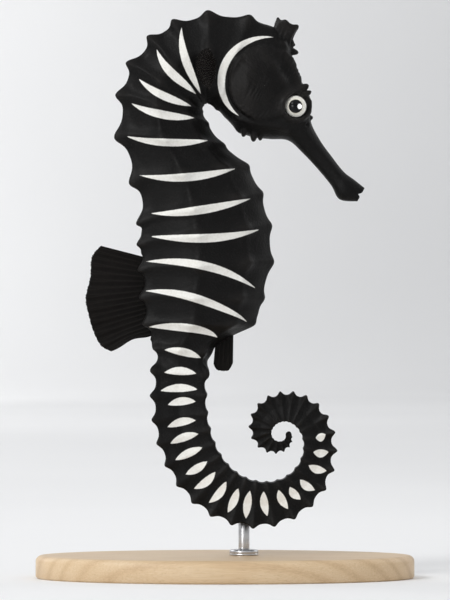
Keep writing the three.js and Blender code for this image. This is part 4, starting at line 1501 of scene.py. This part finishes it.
dress(make_base(), maple_finish(), "base_wood", "stand_base")
steel = steel_finish()
rod = make_turned("stand_pin", "stand_rod", rod_profile, ROD["columns"])
dress(rod, steel, "steel", "stand_rod")
collar = make_turned("stand_ring", "stand_collar", collar_profile, COLLAR["columns"], hollow=True)
dress(collar, steel, "steel", "stand_collar")

# %% [markdown]
# ## The studio
#
# The model stands in a round bowl of pale grey paper, as in a light tent: the floor runs out flat and
# curves up into the wall, so there is no horizon from any side. A flat wall behind would do for one view
# only.

# %% Bowl
BOWL = {"floor": 2.0, "curve": 0.8, "wall": 1.1}  # metres
BOWL_COLUMNS, CURVE_STEPS = 128, 17
FLOOR_RINGS = (60, 300, 0.7 * BOWL["floor"] / MM)  # mm
PAPER = [(0.3, tone(0.84, 0.84, 0.84)), (0.7, tone(0.87, 0.87, 0.87))]


def make_bowl():
    floor, curve = BOWL["floor"] / MM, BOWL["curve"] / MM
    turn = np.linspace(0, np.pi / 2, CURVE_STEPS)
    profile = [(radius, 0) for radius in FLOOR_RINGS]
    profile += [(floor + curve * np.sin(a), curve * (1 - np.cos(a))) for a in turn]
    profile += [(floor + curve, BOWL["wall"] / MM)]
    points, faces = tube(turned(profile, BOWL_COLUMNS), (0, 0, 0))
    bowl = make_mesh("studio_bowl", points, faces, (0, 0, 0))
    look = Finish("studio_paper", Specular_IOR_Level=0.1)
    clouds = look.node("TexNoise", (), {"Vector": look.place(), "Scale": 3.0, "Detail": 2.0})
    look.drive(Base_Color=look.ramp(clouds, PAPER), Roughness=0.8 + clouds * 0.1)
    bowl.data.materials.append(look.material)
    bowl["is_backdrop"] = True
    print("bowl:", len(points), "points,", 2 * (BOWL["floor"] + BOWL["curve"]), "m wide")


make_bowl()

# %% [markdown]
# ## The lamps
#
# A black animal on pale paper asks for two sets of lamps. Its own set is a soft key from the upper left, a
# weak fill low in front, and two tall strips behind that draw the edges of the knobs. Their beams are
# narrow, so they add little to the paper. The other set lights only the paper: four washes over the left
# side of the floor and the wall behind, which make it paler to the left. One big soft box would be simpler,
# but it would light both alike, and the skin would turn grey before the paper is pale.

# %% A lamp
def lamp(name, place, aim, power, size, beam=180, shape="RECTANGLE"):
    light = bpy.data.lights.new(name, "AREA")
    light.energy, light.shape = power, shape
    light.size, light.size_y = size
    light.spread = np.radians(beam)
    made = bpy.data.objects.new(name, light)
    made.visible_camera = False
    made.location = place
    made.rotation_euler = (Vector(aim) - Vector(place)).to_track_quat("-Z", "Y").to_euler()
    bpy.context.scene.collection.objects.link(made)
    print(name, power, "W")
    return made


# %% Lamps for the animal, and washes for the paper, in metres, watts and degrees
low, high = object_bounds()
heart = (low + high) / 2
LAMPS = [  # name, place, aim from the model's middle, power, width and height, beam
    ("key", (-0.62, -0.62, 0.72), (-0.15, 0.03, 0.0), 0.52, (0.3, 0.3), 60),
    ("fill", (-0.5, -0.8, 0.16), (0.0, 0.0, 0.0), 0.2, (0.3, 0.3), 60),
    ("strip_left", (-0.62, 0.5, 0.45), (0.0, 0.0, 0.0), 0.22, (0.12, 0.5), 80),
    ("strip_right", (0.7, 0.42, 0.45), (0.0, 0.0, 0.0), 0.18, (0.16, 0.5), 80),
]
WASHES = [  # name, place, aim, power, width and height, beam
    ("wash_high", (-0.45, 1.4, 0.8), (-0.45, 2.6, 0.35), 1.1, (0.3, 0.3), 60),
    ("wash_low", (-0.35, 1.6, 0.6), (-0.35, 2.0, 0.0), 0.38, (0.25, 0.25), 70),
    ("wash_far", (-0.6, 1.1, 0.8), (-0.4, 1.5, 0.0), 0.98, (0.4, 0.4), 80),
    ("wash_near", (-0.6, 0.7, 0.8), (-0.35, 0.75, 0.0), 0.7, (0.4, 0.4), 80),
]
for name, place, off, *rest in LAMPS:
    lamp(name, place, heart + Vector(off), *rest)
for wash in WASHES:
    lamp(*wash)

# %% [markdown]
# A lamp ahead of each eye and to its side puts one small highlight in it. On the skin it would leave a
# shiny patch, so light linking keeps it to its own eye. It is hidden from the eye's matt colour, and only
# its reflection in the gloss shows.

# %% A highlight for each eye
CATCH = {"ahead": 0.0472, "aside": 0.0371, "power": 0.8, "size": (0.078, 0.064)}  # metres and watts

for side, eye in zip((1, -1), EYES):
    eye_at = Vector(tuple((PLACE + np.array(EYE["middle"]) * (1, side, 1)) * MM))
    catch_at = eye_at + Vector((CATCH["ahead"], side * CATCH["aside"], 0.0))
    catch_light = lamp("catch_" + eye.name, catch_at, eye_at, CATCH["power"], CATCH["size"], shape="ELLIPSE")
    catch_light.visible_diffuse = False
    only_this = bpy.data.collections.new(eye.name + "_light")
    only_this.objects.link(eye)
    catch_light.light_linking.receiver_collection = only_this

# %% [markdown]
# Lamps alone would leave the sides away from them black. An even light from above and all round stands for
# the light tent, whose paper throws light back from every side.

# %% Air
AIR = {"tint": tone(0.97, 0.98, 1.0), "strength": 0.74}

world = bpy.data.worlds.new("air")
world.use_nodes = True
air = world.node_tree.nodes["Background"].inputs
air["Color"].default_value, air["Strength"].default_value = AIR["tint"], AIR["strength"]
bpy.context.scene.world = world
print("air strength", AIR["strength"])

# %% [markdown]
# ## The camera
#
# The view is square on to the animal's right side, from level with its middle, through a long lens from far
# enough off that the profile keeps its true shape. The height of the view comes from the model: its own
# height, a narrow margin above, and below it room for the front edge of the base, which is nearer and so
# sinks lower.

# %% Set the camera
LENS, FILM = 300, 36  # mm; the film's long side stands upright
MARGIN_TOP, MARGIN_FOOT = 2.3, 4.4  # mm
NEAR, FAR = 0.05, 20  # metres

camera = bpy.data.objects.new("camera", bpy.data.cameras.new("camera"))
camera.data.lens, camera.data.sensor_width = LENS, FILM
top, foot = cad_high.z / MM + MARGIN_TOP, cad_low.z / MM - MARGIN_FOOT
distance = (top - foot) * LENS / FILM
camera.location = Vector((0.0, -distance, (top + foot) / 2)) * MM
camera.rotation_euler = (np.pi / 2, 0, 0)
camera.data.clip_start, camera.data.clip_end = NEAR, FAR
bpy.context.scene.collection.objects.link(camera)
bpy.context.scene.camera = camera
bpy.context.scene.view_settings.view_transform = "Standard"
print("camera", round(distance), "mm away, view", round(top - foot, 1), "mm high")

# %% Measure and finish
bpy.context.view_layer.update()
low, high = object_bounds()
print("visual box in mm:", [round(side / MM, 1) for side in high - low])
